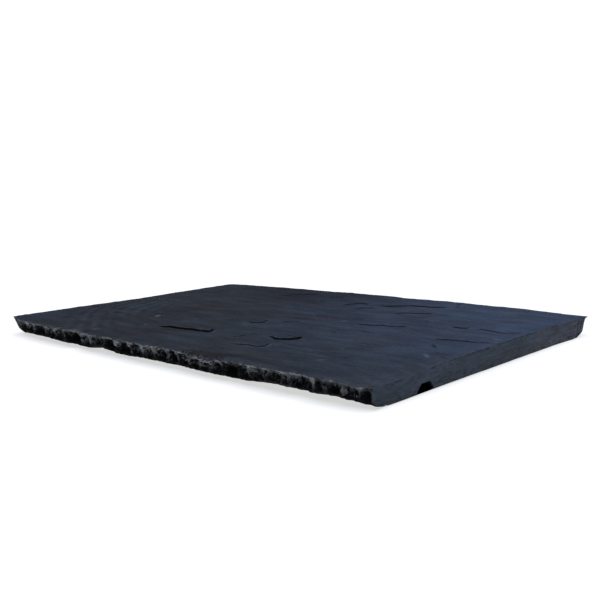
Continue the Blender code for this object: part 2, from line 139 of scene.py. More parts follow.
# Steps of the cleavage face: points, height, and fall-back distance.
STEPS = (
    (((-84, -125), (-68, -125), (-53, -123), (-28, -121), (-5, -117), (10, -115), (-4, -98)), 2.2, 34),
    (((78, -92), (92, -100), (101, -102), (112, -98), (119, -90), (117, -77)), 1.9, 24),
    (((-7, -43), (6, -47), (15, -44), (11, -27)), 0.9, 18),
    (((25, -28), (36, -19), (50, -11)), 0.6, 20),
    (((47, -122), (55, -115), (55, -103)), 0.6, 16),
    (((72, -147), (88, -143), (98, -140), (111, -140), (116, -134), (111, -122)), 0.8, 20),
    (((86, -74), (104, -82), (121, -91)), 0.6, 14),
    (((51, -92), (65, -97)), 0.4, 12),
    (((-129, 126), (-113, 159), (-80, 166)), 0.8, 24),
    (((-63, 104), (-58, 121), (-31, 128)), 0.6, 20),
    (((-56, 152), (-32, 166)), 0.7, 20),
    (((6, 110), (12, 123), (20, 134), (36, 135)), 1.0, 22),
    (((38, 96), (47, 105), (59, 117)), 0.7, 18),
    (((43, 140), (65, 132), (90, 149), (118, 153), (140, 162)), 1.1, 30),
    (((102, 87), (117, 102), (151, 114)), 0.8, 22),
    (((104, 14), (124, 11), (141, 18), (164, 24), (177, 32)), 1.0, 26),
    (((141, -19), (160, -20), (169, -9)), 0.5, 16),
    (((180, -14), (210, -10)), 0.4, 16),
    (((114, -35), (130, -40)), 0.6, 14),
    (((214, 53), (225, 53), (235, 54)), 0.9, 16),
    (((236, 55), (250, 56), (264, 52), (281, 49), (295, 63)), 0.9, 24),
    (((228, -7), (242, -11), (259, -9), (280, -7), (299, 1)), 0.9, 28),
    (((183, -108), (191, -97), (219, -88)), 0.5, 16),
    (((208, -134), (225, -127)), 0.5, 14),
    (((268, -66), (290, -60)), 0.6, 10),
    (((280, -74), (299, -80)), 0.5, 10),
    (((153, 159), (140, 184), (137, 197)), 0.5, 10),
    (((-120, -176), (-70, -170)), 0.45, 12),
    (((-80, -190), (-9, -182)), 0.4, 10),
    (((18, -182), (82, -168)), 0.4, 12),
)

# How dark the painted shade in the seam of each step is.
SEAM_SHADE = (
    1.00, 0.95, 0.75, 0.40, 0.50, 0.60, 0.50, 0.40, 0.35, 0.20,
    0.40, 0.50, 0.50, 0.60, 0.45, 0.55, 0.30, 0.25, 0.30, 0.80,
    0.50, 0.55, 0.20, 0.30, 0.15, 0.35, 0.30, 0.25, 0.20, 0.15,
)

# Spots and stains of the top: X, Y, half length, half width, turn, strength.
# Pale spots are bruises; the long thin ones turned -32 to -42 degrees, which run along the line of sight, are painted
# reflections.
PALE_SPOTS_AND_REFLECTIONS = (
    (-132, -80, 3.0, 8.0, 40, 1.0),
    (-95, -126, 2.8, 6.0, 40, 0.4),
    (274, -79, 1.8, 7.5, 44, 1.4),
    (290, 19, 4.0, 5.0, 56, 0.7),
    (91, 20, 6.0, 3.0, 51, 0.6),
    (47, 19, 32, 1.8, -40, 0.26),
    (118, -7, 20, 1.8, -42, 0.26),
    (107, -6, 28, 2.0, -40, 0.2),
    (118, -127, 10, 2.4, 113, 0.45),
    (126, -125, 14, 2.0, -32, 0.3),
    (0, -53, 22, 3.0, -35, 0.28),
    (171, -125, 14, 3.0, -2, 0.22),
    (208, -148, 7, 3.4, 66, 0.5),
    (-122, -178, 6, 4.6, 13, 0.5),
)
BROWN_STAINS = (
    (-141, 14, 34, 28, 104, 0.9),
    (-115, 121, 52, 38, 51, 0.8),
    (-118, -69, 7, 9, 32, 1.0),
    (-180, 5, 9, 14, 70, 0.7),
    (-241, -174, 12, 18, 93, 0.6),
    (-296, -62, 20, 16, 63, 0.5),
    (-160, 107, 20, 22, 49, 0.5),
    (12, -45, 9, 4, 20, 0.5),
)
# Dark spots are holes, and painted shade beside the arrises and a step, most of all along the sawn arris at the far
# right.
DARK_SPOTS_AND_SHADE = (
    (256, -40, 1.7, 7.0, 44, 1.7),
    (-119, -191, 4.0, 5.0, 106, 1.0),
    (282, -66, 16, 6.0, 14, 0.45),
    (-75, -126, 12, 2.4, 0, 0.5),
    (-40, 112, 24, 12, 40, 0.35),
    (100, -187, 40, 7.0, 12, 0.8),
    (152, -184, 12, 3.0, 8, 0.6),
    (289, 50, 9.0, 6.0, 20, 0.35),
    (296, 80, 3.0, 9.0, 0, 0.4),
    (297, 112, 6.0, 20, 0, 0.24),
    (298, 129, 3.0, 7.0, 0, 0.4),
)

# Where the split face is painted bluer and lighter, a painted sheen of the cool window light, and where duller: X, Y,
# half length, half width, turn, strength.
PAINTED_SHEEN_ZONES = ((300, 190, 460, 420, 0, 1.0), (-290, -150, 150, 120, 0, 0.6))
DULL_ZONES = ((-120, 190, 230, 150, 0, 1.0),)

SWELLS = (
    (300, 205, 36, 42, -1.2),
    (-45, 210, 55, 60, 1.7),
    (110, 210, 72, 60, 1.9),
    (-210, 205, 60, 50, -0.5),
    (-300, 40, 45, 110, -0.6),
    (300, 50, 60, 60, 0.4),
    (300, -200, 26, 26, -2.4),
    (-110, 60, 110, 70, 0.4),
    (80, -60, 120, 60, -0.4),
    (-180, -110, 70, 50, 0.4),
    (15, 205, 26, 30, 1.2),
    (212, 205, 22, 30, 1.1),
    (-170, 205, 40, 30, 0.8),
    (303, -178, 15, 20, -2.0),
    (303, -150, 15, 22, -2.8),
    (303, -112, 14, 24, -1.4),
    (100, -212, 16, 28, -3.3),
    (79, -206, 8, 20, -1.0),
    (127, -208, 10, 22, -0.9),
)

# How the broken foot of the front side rises and falls: X, half length, lift.
FRONT_FOOT = (
    (-262, 20, 0.8), (-214, 30, 2.2), (-190, 8, 0.7), (-149, 8, 1.2), (-119, 7, -0.7), (-65, 10, 1.0),
    (-18, 10, 0.9), (4, 22, 1.3), (51, 8, 0.7), (74, 12, 0.4), (124, 12, 0.5), (172, 16, 1.0),
    (200, 14, -0.8), (228, 8, 1.6), (246, 6, 0.6), (281, 7, 1.2),
)


# ---------------------------------------------------------------- small tools
def smooth(x, low, high):
    t = np.clip((x - low) / (high - low), 0.0, 1.0)
    return t * t * (3.0 - 2.0 * t)


def lattice(ix, iy, seed):
    n = (ix * 374761393 + iy * 668265263 + seed * 974634777) & 0xFFFFFFFF
    n = ((n ^ (n >> 13)) * 1274126177) & 0xFFFFFFFF
    n = (n ^ (n >> 16)) & 0xFFFFFF
    return n / float(0x7FFFFF) - 1.0


def noise(x, y, seed):
    x, y = np.broadcast_arrays(np.asarray(x, float), np.asarray(y, float))
    ix, iy = np.floor(x).astype(np.int64), np.floor(y).astype(np.int64)
    fx, fy = x - ix, y - iy
    fx, fy = fx * fx * (3 - 2 * fx), fy * fy * (3 - 2 * fy)
    low = lattice(ix, iy, seed) * (1 - fx) + lattice(ix + 1, iy, seed) * fx
    high = lattice(ix, iy + 1, seed) * (1 - fx) + lattice(ix + 1, iy + 1, seed) * fx
    return low * (1 - fy) + high * fy


def layered(x, y, seed, octaves):
    total, size = 0.0, 1.0
    for octave in range(octaves):
        total = total + size * noise(x * 2**octave, y * 2**octave, seed + octave)
        size *= 0.5
    return total


# ---------------------------------------------------------------- top surface
def step_field(x, y, number, points):
    """Signed distance to a step's ragged line (layer side positive), its taper and its direction."""
    x = x + 1.6 * noise(x / 9, y / 9, 31 + number)
    y = y + 1.6 * noise(x / 9, y / 9, 61 + number)
    best = np.full(x.shape, 1e9)
    side, along = np.zeros(x.shape), np.zeros(x.shape)
    across = np.zeros(x.shape)
    dir_x, dir_y = np.zeros(x.shape), np.zeros(x.shape)
    lengths = [math.dist(a, b) for a, b in zip(points, points[1:])]
    total, passed = sum(lengths), 0.0
    for (ax, ay), (bx, by), length in zip(points, points[1:], lengths):
        ux, uy = (bx - ax) / length, (by - ay) / length
        t = np.clip((x - ax) * ux + (y - ay) * uy, 0.0, length)
        dx, dy = x - ax - t * ux, y - ay - t * uy
        d = np.hypot(dx, dy)
        cross = ux * dy - uy * dx
        nearer = (d < best - 1e-6) | ((d < best + 1e-6) & (np.abs(cross) > np.abs(across)))
        best = np.where(nearer, d, best)
        across = np.where(nearer, cross, across)
        side = np.where(nearer, np.sign(cross), side)
        along = np.where(nearer, passed + t, along)
        dir_x, dir_y = np.where(nearer, ux, dir_x), np.where(nearer, uy, dir_y)
        passed += length
    taper = smooth(along, 0.0, 0.3 * total) * smooth(total - along, 0.0, 0.12 * total)
    return best * side, taper, dir_x, dir_y


def top_height(x, y, fine=True):
    x, y = np.broadcast_arrays(np.asarray(x, float), np.asarray(y, float))
    h = np.full(x.shape, THICKNESS)
    for cx, cy, rx, ry, height in SWELLS:
        h = h + height * np.exp(-(((x - cx) / rx) ** 2) - ((y - cy) / ry) ** 2)
    wander_x = x + 9.0 * noise(x / 60, y / 45, 11)
    wander_y = y + 7.0 * noise(x / 70, y / 40, 12)
    h = h + 0.32 * layered(wander_x / 150, wander_y / 85, 21, 2)
    for number, (points, height, fade) in enumerate(STEPS):
        signed, taper, _, _ = step_field(x, y, number, points)
        height = height * (0.5 + 0.5 * SEAM_SHADE[number])
        h = h + height * taper * (signed > 0.0) * np.exp(-((signed / fade) ** 2))
    if fine:
        # Long low streaks of the cleavage, then worn terraces a fraction of a millimetre high.
        h = h + 0.10 * layered(wander_x / 46, wander_y / 11, 23, 3)
        level = 1.6 * layered(wander_x / 120, wander_y / 42, 25, 3) + wander_y / 160
        low = np.floor(level)
        h = h + 0.34 * (smooth(level - low, 0.42, 0.58) + low - level)
        # Faint ripples round one point on the left.
        away = np.hypot((x + 190) / 1.0, (y + 60) / 1.0)
        h = h + 0.10 * np.sin(away / 3.4) * np.exp(-(((away - 46) / 30) ** 2))
    return h


def nearest_step(x, y):
    """Signed distance in millimetres to the nearest step's line, and how dark the painted shade in its seam is there.
    """
    best, dark = np.full(x.shape, 9.0), np.zeros(x.shape)
    for number, (points, _, _) in enumerate(STEPS):
        signed, taper, _, _ = step_field(x, y, number, points)
        nearer = (np.abs(signed) < np.abs(best)) & (taper > 0.0)
        best = np.where(nearer, signed, best)
        soft = 1.0 if number < 9 else 0.8
        dark = np.where(nearer, smooth(taper, 0.05, 0.5) * SEAM_SHADE[number] * soft, dark)
    return best, dark


def snap_to_steps(x, y, reach):
    """Moves grid points beside each step's line onto its foot and its lip, so the step is crisp."""
    for number, (points, _, _) in enumerate(STEPS):
        signed, taper, dir_x, dir_y = step_field(x, y, number, points)
        cell = 1.15 * np.maximum(np.abs(dir_x) * reach[1], np.abs(dir_y) * reach[0])
        # Only the two ends of a grid edge that the line crosses move.
        up = signed > 0.0
        crossed = np.zeros(x.shape, bool)
        crossed[:, 1:] |= up[:, 1:] != up[:, :-1]
        crossed[:, :-1] |= up[:, 1:] != up[:, :-1]
        crossed[1:] |= up[1:] != up[:-1]
        crossed[:-1] |= up[1:] != up[:-1]
        near = crossed & (np.abs(signed) <= cell) & (taper > 0.02)
        want = np.where(up, 0.16, -0.16)
        moved = np.zeros(x.shape)
        for _ in range(8):
            move = np.where(near, want - signed, 0.0)
            move = np.clip(moved + move, -cell, cell) - moved
            moved = moved + move
            x, y = x - move * dir_y, y + move * dir_x
            signed, taper, dir_x, dir_y = step_field(x, y, number, points)
    return x, y


# ---------------------------------------------------------------- side shapes
def scars_of(side):
    length = SIDES[side][3]
    if side == FRONT:
        return [(a + LENGTH / 2, b + LENGTH / 2, d, c, p, g) for a, b, d, c, p, g in FRONT_SCARS]
    if side == RIGHT:
        return []
    found, at, number = [], -3.0, 0
    while at < length + 2.0:
        size = 25.0 + 10.0 * float(lattice(number, side, 7))
        depth = 4.2 + 1.6 * float(lattice(number, side, 8))
        bite = 1.2 + 0.7 * float(lattice(number, side, 9))
        peak = 0.5 + 0.2 * float(lattice(number, side, 10))
        grey = 0.4 + 0.35 * float(lattice(number, side, 15))
        found.append((at, at + size, depth, bite, peak, grey))
        at, number = at + size, number + 1
    return found


def scoop(s, first, last, peak):
    t = (s - first - RIDGE) / (last - first - 2 * RIDGE)
    u = np.where(t < peak, (t - peak) / peak, (t - peak) / (1 - peak))
    return np.where((t > 0) & (t < 1), 1.0 - np.abs(u) ** 2.1, 0.0)


def outline(side, s, fine=True):
    length = SIDES[side][3]
    if side == RIGHT:
        return -0.4 * smooth(s, 20, 120) + 1.2 * smooth(s, 330, 400) + 0.25 * noise(s / 14, 0, 41)
    if side == FRONT:
        line = 3.2 - 14.6 * np.exp(-s / 34.0) - 9.0 * np.exp(-((length - s) / 12.0) ** 2)
    elif side == BACK:
        line = 1.6 - 7.5 * smooth(s, length - 90, length)
    else:
        line = 1.5 + 1.5 * smooth(s, length - 120, length)
    line = line + (1.0 * noise(s / 38, side, 42) + 0.5 * noise(s / 9, side, 43)) * (1.0 if side == FRONT else 0.5)
    for first, last, _, bite, peak, _ in scars_of(side):
        line = line - bite * scoop(s, first, last, peak)
    return line


def small_chips(side, s):
    """Small flakes out of the arris itself, a few millimetres wide, 0 to about 1.5 mm deep."""
    s = np.asarray(s, float)
    size = 7.5 if side != RIGHT else 11.0
    cell = np.floor(s / size).astype(np.int64)
    total = np.zeros(s.shape)
    for near in (-1, 0, 1):
        k = cell + near
        at = (k + 0.5 + 0.35 * lattice(k, side, 72)) * size
        wide = size * (0.45 + 0.25 * lattice(k, side, 73))
        deep = 0.75 + 0.75 * lattice(k, side, 74)
        total = np.maximum(total, deep * (1 - np.clip(np.abs(s - at) / wide, 0, 1) ** 2))
    length = SIDES[side][3]
    return total * smooth(s, 0, 12) * smooth(length - s, 0, 12) * (1.0, 1.0, 0.25, 0.25)[side]


def broken_foot(s):
    return sum(
        size * np.exp(-(((s - at) / reach) ** 2))
        for at, reach, size in ((500, 24, 1.0), (560, 18, 0.8), (210, 16, 0.8))
    )


def foot_lift(s):
    return sum(lift * np.exp(-(((s - LENGTH / 2 - at) / half) ** 2)) for at, half, lift in FRONT_FOOT)


def leaning(side, s, h, fine=True):
    """The place along a side that a point's scar is read at: ridges lean and wander on their way down."""
    s = np.asarray(s, float)
    ends = smooth(s, 0, 35) * smooth(SIDES[side][3] - s, 0, 35)
    lean = (7.0 - 4.0 * s / LENGTH) if side == FRONT else 0.0 * s
    if fine:
        lean = lean + 2.6 * noise(s / 31, side, 81) + 1.8 * noise(s / 12, side, 82)
        return s + ends * ((1 - h) * lean + 0.9 * noise(s / 5, h * 4.0, 83) * smooth(1 - h, 0.0, 0.15))
    return s + ends * (1 - h) * lean


def chip_reach(s):
    """How high the chip in the foot of the sawn side stands at each place along it."""
    y = s - WIDTH / 2
    rise = np.minimum((y - CHIP_FROM) / CHIP_SLOPES[0], (CHIP_TO - y) / CHIP_SLOPES[1])
    return CHIP_HEIGHT * np.clip(rise, 0.0, 1.0)


def hollow(side, s, h, fine=True):
    if side == RIGHT:
        flat = 0.5 * np.exp(-h / 0.05) + 0.3 * noise(s / 40, h * 2.0, 44) * (1 - h)
        inside = np.clip((chip_reach(s) - h * THICKNESS) / CHIP_HEIGHT, 0, 1)
        flat = flat + CHIP_DEPTH * smooth(inside, 0.0, 0.45 if not fine else 0.25) * smooth(h, 0.0, 0.06)
        # The far end is broken off unevenly.
        broken = smooth(s, 373, 379)
        flat = flat + broken * smooth(1 - h, 0.0, 0.1) * (0.7 + 0.3 * noise(s / 6, h * 1.5, 76))
        if fine:
            flat = flat + 0.10 * noise(s / 30, h * 3, 75) + 0.9 * small_chips(side, s) * smooth(h, 0.92, 1.0)
            flat = flat + broken * smooth(1 - h, 0.0, 0.1) * 0.5 * noise(s / 2.6, h * 1.2, 77)
        return flat
    length = SIDES[side][3]
    ends = np.exp(-s / 40.0) + np.exp(-(length - s) / 40.0)
    lip = 2.6 * (1 - np.exp(-(1 - h) / 0.12)) + 4.6 * (1 - h)
    reach = 12.5 - 3.0 * ends + 2.2 * noise(s / 30, side, 45)
    top = 0.2
    if side == FRONT:
        top = 0.2 + 0.22 * broken_foot(s)
        reach = reach + 4.0 * broken_foot(s) + 2.5 * np.minimum(foot_lift(s), 0.0)
    total = lip + reach * np.clip((top - h) / top, 0, 1) ** 1.8
    if side == LEFT:
        total = total * (1 - 0.85 * smooth(s, length - 60, length - 5))
    place = leaning(side, s, h, fine)
    for first, last, depth, bite, peak, _ in scars_of(side):
        down = smooth(1 - h, 0.02, 0.26) * (1.0 - 0.95 * smooth(1 - h, 0.45, 0.85))
        total = total + 0.85 * depth * down * scoop(place, first, last, peak)
        # The bites in the arris die out on the way down, so the foot runs straighter.
        total = total - 0.9 * bite * smooth(1 - h, 0.4, 0.85) * scoop(s, first, last, peak)
    rough = 0.9 * noise(s / 7, h * 3.0, 46 + side) * smooth(1 - h, 0.0, 0.15)
    total = total + rough * smooth(h, 0.0, 0.1)
    # The left front corner batters evenly; at the right one the dressing stops flush with the sawn face.
    if side in (FRONT, LEFT):
        at_left = np.exp(-((s if side == FRONT else length - s) / 14.0) ** 2)
        batter = 6.2 * (1 - h) ** 0.95 + 3.5 * np.clip((0.3 - h) / 0.3, 0, 1) ** 1.3
        total = total * (1 - at_left) + batter * at_left
    if side == BACK:
        at_right = np.exp(-((s / 14.0) ** 2))
        batter = 5.5 * (1 - np.exp(-(1 - h) / 0.08)) + 8.5 * (1 - h) + 12.0 * np.clip((0.3 - h) / 0.3, 0, 1) ** 1.6
        total = total * (1 - at_right) + batter * at_right
    if side == FRONT:
        at_right = np.exp(-((length - s) / 5.0) ** 2)
        flush = -1.1 * smooth(1 - h, 0.03, 0.12) + 4.0 * smooth(1 - h, 0.55, 0.8) + 14.0 * np.clip((0.2 - h) / 0.2, 0, 1) ** 1.8
        total = total * (1 - at_right) + flush * at_right
    if fine:
        # The arris flakes, then smaller flakes inside the scars and thin ledges where layers end.
        away = smooth(s, 0, 18) * smooth(length - s, 0, 18)
        total = total + small_chips(side, s) * smooth(h, 0.84, 1.0)
        flake = layered(s / 5.0, h * 5.0 + 0.3 * s / 5.0, 91 + side, 2)
        pits = np.abs(noise(s / 6.5 + 0.7 * h * 3, h * 3.6 - 0.2 * s / 6.5, 97 + side))
        ledge = noise(s / 16.0, h * 9.0, 95 + side)
        inner = 0.55 * flake + 0.45 * ledge + 1.3 * (0.35 - pits) + facets(s / 6.5, h * 2.6, 121 + side)
        total = total + away * inner * smooth(1 - h, 0.06, 0.16) * smooth(h, 0.0, 0.08)
        if side == FRONT:
            for at, half, long, _, lean in FRONT_TEETH:
                total = total - 1.5 * tooth(s - LENGTH / 2, h, at, half, long, lean) * smooth(1 - h, 0.02, 0.14)
    return total


def facets(u, v, seed):
    """Flat-bottomed broken facets, 0 at their ridges to 1.5 mm inside."""
    u, v = np.broadcast_arrays(np.asarray(u, float), np.asarray(v, float))
    iu, iv = np.floor(u).astype(np.int64), np.floor(v).astype(np.int64)
    first, second = np.full(u.shape, 9.0), np.full(u.shape, 9.0)
    for du in (-1, 0, 1):
        for dv in (-1, 0, 1):
            ku, kv = iu + du, iv + dv
            away = np.hypot(u - ku - 0.5 - 0.42 * lattice(ku, kv, seed), v - kv - 0.5 - 0.42 * lattice(ku, kv, seed + 1))
            second = np.minimum(second, np.maximum(first, away))
            first = np.minimum(first, away)
    return 1.5 * smooth(second - first, 0.0, 0.5) - 0.6


def tooth_reach(x, h, at, half, long, lean):
    """Millimetres inside a point that hangs from the arris and narrows downwards, negative outside it."""
    down = (1 - h) * THICKNESS / long
    wide = half * np.clip(1.0 - down, 0.0, 1.0) ** 0.8
    return np.where(down < 1.0, wide, 3.0 * (1.0 - down)) - np.abs(x - at - lean * down)


def tooth(x, h, at, half, long, lean):
    """1 inside a point that hangs from the arris, 0 outside it."""
    return smooth(tooth_reach(x, h, at, half, long, lean), -0.4, 0.8)


def lower_edge(side, s):
    length = SIDES[side][3]
    if side == RIGHT:
        return 0.5 * smooth(s, 25, 120) * smooth(length - s, 15, 130) + 1.0 * np.exp(-((s / 14.0) ** 2))
    gap = 0.8 + 0.5 * noise(s / 45, side, 49)
    if side == FRONT:
        gap = gap + 0.7 + 1.2 * broken_foot(s) + foot_lift(s)
    return np.clip(gap, 0.0, None) * smooth(s, 0, 20) * smooth(length - s, 0, 20)


def crest_chips(side, s):
    """How much the chips on the front arris lower it."""
    if side != FRONT:
        return np.zeros(np.shape(s))
    return sum(drop * np.exp(-(((s - LENGTH / 2 - at) / half) ** 2)) for at, half, drop in CREST_CHIPS)


def arris_drop(side, s, fine=True):
    if side == RIGHT:
        drop = 0.25 + 0.12 * noise(s / 11, 3, 47)
        if fine:
            drop = drop + 0.2 * small_chips(side, s)
        return drop
    share = 1.0 if side == FRONT else 0.15
    drop = (0.5 if side == FRONT else 0.15) + 0.25 * share * noise(s / 8, side, 48)
    for first, last, _, bite, peak, _ in scars_of(side):
        drop = drop + 0.16 * share * bite * scoop(s, first, last, peak)
    if fine:
        drop = drop * (1.0 if side == FRONT else 0.3) + 0.4 * share * small_chips(side, s)
    return drop


def grey_at(side, s):
    """How grey the broken stone is at each place along a side, 0 to 1."""
    total = np.zeros(np.shape(s))
    for first, last, _, _, _, grey in scars_of(side):
        total = np.where((s >= first) & (s < last), grey, total)
    return total


def crest_at(side, s):
    """Height in millimetres and paleness of the crushed strip under a side's arris."""
    if side == RIGHT:
        return np.full(np.shape(s), 0.2), 0.03 + 0.03 * noise(s / 9, 1, 103)
    ragged = noise(s / 2.6, side, 101)
    high = 0.9 + 0.4 * ragged
    pale = 0.16 + 0.14 * noise(s / 6, side, 102)
    if side == FRONT:
        x = s - LENGTH / 2 + 0.8 * ragged
        for first, last, height, paleness in FRONT_CREST:
            inside = smooth(x, first - 1.0, first + 1.5) * smooth(-x, -last - 1.0, -last + 1.5)
            taller = 1.25 - 0.30 * smooth(x, 145, 165) - 0.30 * smooth(-x, 130, 190) + 0.35 * ragged
            high = np.maximum(high, inside * height * taller)
            pale = np.maximum(pale, inside * paleness * (1.0 - 0.2 * smooth(x, 120, 200)))
    else:
        patch = smooth(noise(s / 17, side, 105), -0.2, 0.5)
        high = high + 1.0 * patch * (1 + 0.4 * ragged)
        pale = pale + 0.4 * patch
    return high, pale


def hang_at(side, s, h):
    """Millimetres inside the nearest crushed point or ridge that hangs from the arris, and its paleness."""
    best, pale = np.full(np.shape(s), -4.0), np.zeros(np.shape(s))
    if side == FRONT:
        place = leaning(side, s, h)
        rows = [(tooth_reach(s - LENGTH / 2, h, at, half, long, lean), tone) for at, half, long, tone, lean in FRONT_TEETH]
        for number, (_, last, _, _, _, grey) in enumerate(scars_of(side)):
            right = float(smooth(last, 370.0, 430.0))
            strong = float(lattice(number, side, 19))
            tone = 0.27 + 0.20 * strong + 0.20 * grey - 0.10 * right
            narrows = 3.2 - 1.0 * strong + 2.4 * right
            rows.append((2.2 - narrows * (1 - h) - np.abs(place - last - 0.6), tone * (1.0 - 0.9 * smooth(1 - h, 0.28, 0.62))))
    elif side == RIGHT:
        rows = []
    else:
        place = leaning(side, s, h)
        rows = [(2.2 - 9.0 * (1 - h) - np.abs(place - last), 0.15 + 0.5 * grey) for _, last, _, _, _, grey in scars_of(side)]
    for reach, tone in rows:
        nearer = reach > best
        best, pale = np.where(nearer, reach, best), np.where(nearer, tone, pale)
    return best, pale


# ---------------------------------------------------------------- whole shape
def round_corner(distance, radius):
    angle = (math.pi / 4) * np.clip(distance / radius, 0.0, 1.0)
    turn = math.pi / 4 - angle
    near = distance < radius
    along = np.where(near, radius - radius * np.sin(turn) - distance, 0.0)
    inward = np.where(near, radius - radius * np.cos(turn), 0.0)
    return along, inward


def side_points(side, steps, h, fine):
    corner, direction, normal, length = SIDES[side]
    before, after = (side - 1) % 4, (side + 1) % 4
    s = np.arange(steps) * (length / steps)
    own = outline(side, s, fine) - hollow(side, s, h, fine)
    last = np.array([SIDES[before][3]])
    zero = np.array([0.0])
    at_start = (outline(before, last, fine) - hollow(before, last, h, fine))[0]
    at_end = (outline(after, zero, fine) - hollow(after, zero, h, fine))[0]
    fade_in = np.clip(1 - s / CORNER_REACH, 0, 1) ** 2
    fade_out = np.clip(1 - (length - s) / CORNER_REACH, 0, 1) ** 2
    along = s.copy()
    if side == BACK:
        shift, inward = round_corner(length - s, FAR_CORNER_RADIUS)
        along, own = along - shift, own - inward
    if side == LEFT:
        shift, inward = round_corner(s, FAR_CORNER_RADIUS)
        along, own = along + shift, own - inward
    out = own[:, None] * np.array(normal)
    out = out + (at_start * fade_in)[:, None] * np.array(SIDES[before][2])
    out = out + (at_end * fade_out)[:, None] * np.array(SIDES[after][2])
    return np.array(corner) + along[:, None] * np.array(direction) + out


def ring_steps(cells):
    return (2 * cells[0], 2 * cells[1], 2 * cells[0], 2 * cells[1])


def ring_points(cells, h, fine=True):
    return np.concatenate([side_points(k, n, h, fine) for k, n in enumerate(ring_steps(cells))])


def ring_values(cells, function):
    return np.concatenate([function(k, np.arange(n) * (SIDES[k][3] / n)) for k, n in enumerate(ring_steps(cells))])


def cad_centre():
    """Where the CAD model's box has its centre before it is moved over the origin."""
    plans = np.concatenate([ring_points(CAD_CELLS, h, False) for h in CAD_SIDE_RINGS])
    return (plans.min(axis=0) + plans.max(axis=0)) / 2


class Surface:
    """Vertices, faces, the bake map's coordinates and the finish masks of one mesh."""

    MASKS = ("line", "dark", "below", "crest", "pale", "hang", "tone", "deep", "grey", "bed", "dirt", "chip", "sawn", "front")

    def __init__(self):
        self.xy, self.z, self.count = [], [], 0
        self.masks = {name: [] for name in self.MASKS}
        self.faces, self.uvs = [], []

    def add(self, xy, z, **masks):
        start, n = self.count, len(xy)
        self.xy.append(np.asarray(xy, float))
        self.z.append(np.broadcast_to(np.asarray(z, float), (n,)).astype(float))
        for name in self.MASKS:
            self.masks[name].append(np.broadcast_to(np.asarray(masks.get(name, 0.0), float), (n,)).astype(float))
        self.count += n
        return start


# The bake map: the top, the bed, and one strip for each side, at about one scale.
PER_MM = 0.79 / LENGTH  # map units a millimetre
TOP_AT = (0.005, 0.995)  # the top's left and upper edge
BED_AT = (0.005, 0.445)
STRIP_X = (0.815, 0.862, 0.909, 0.956)


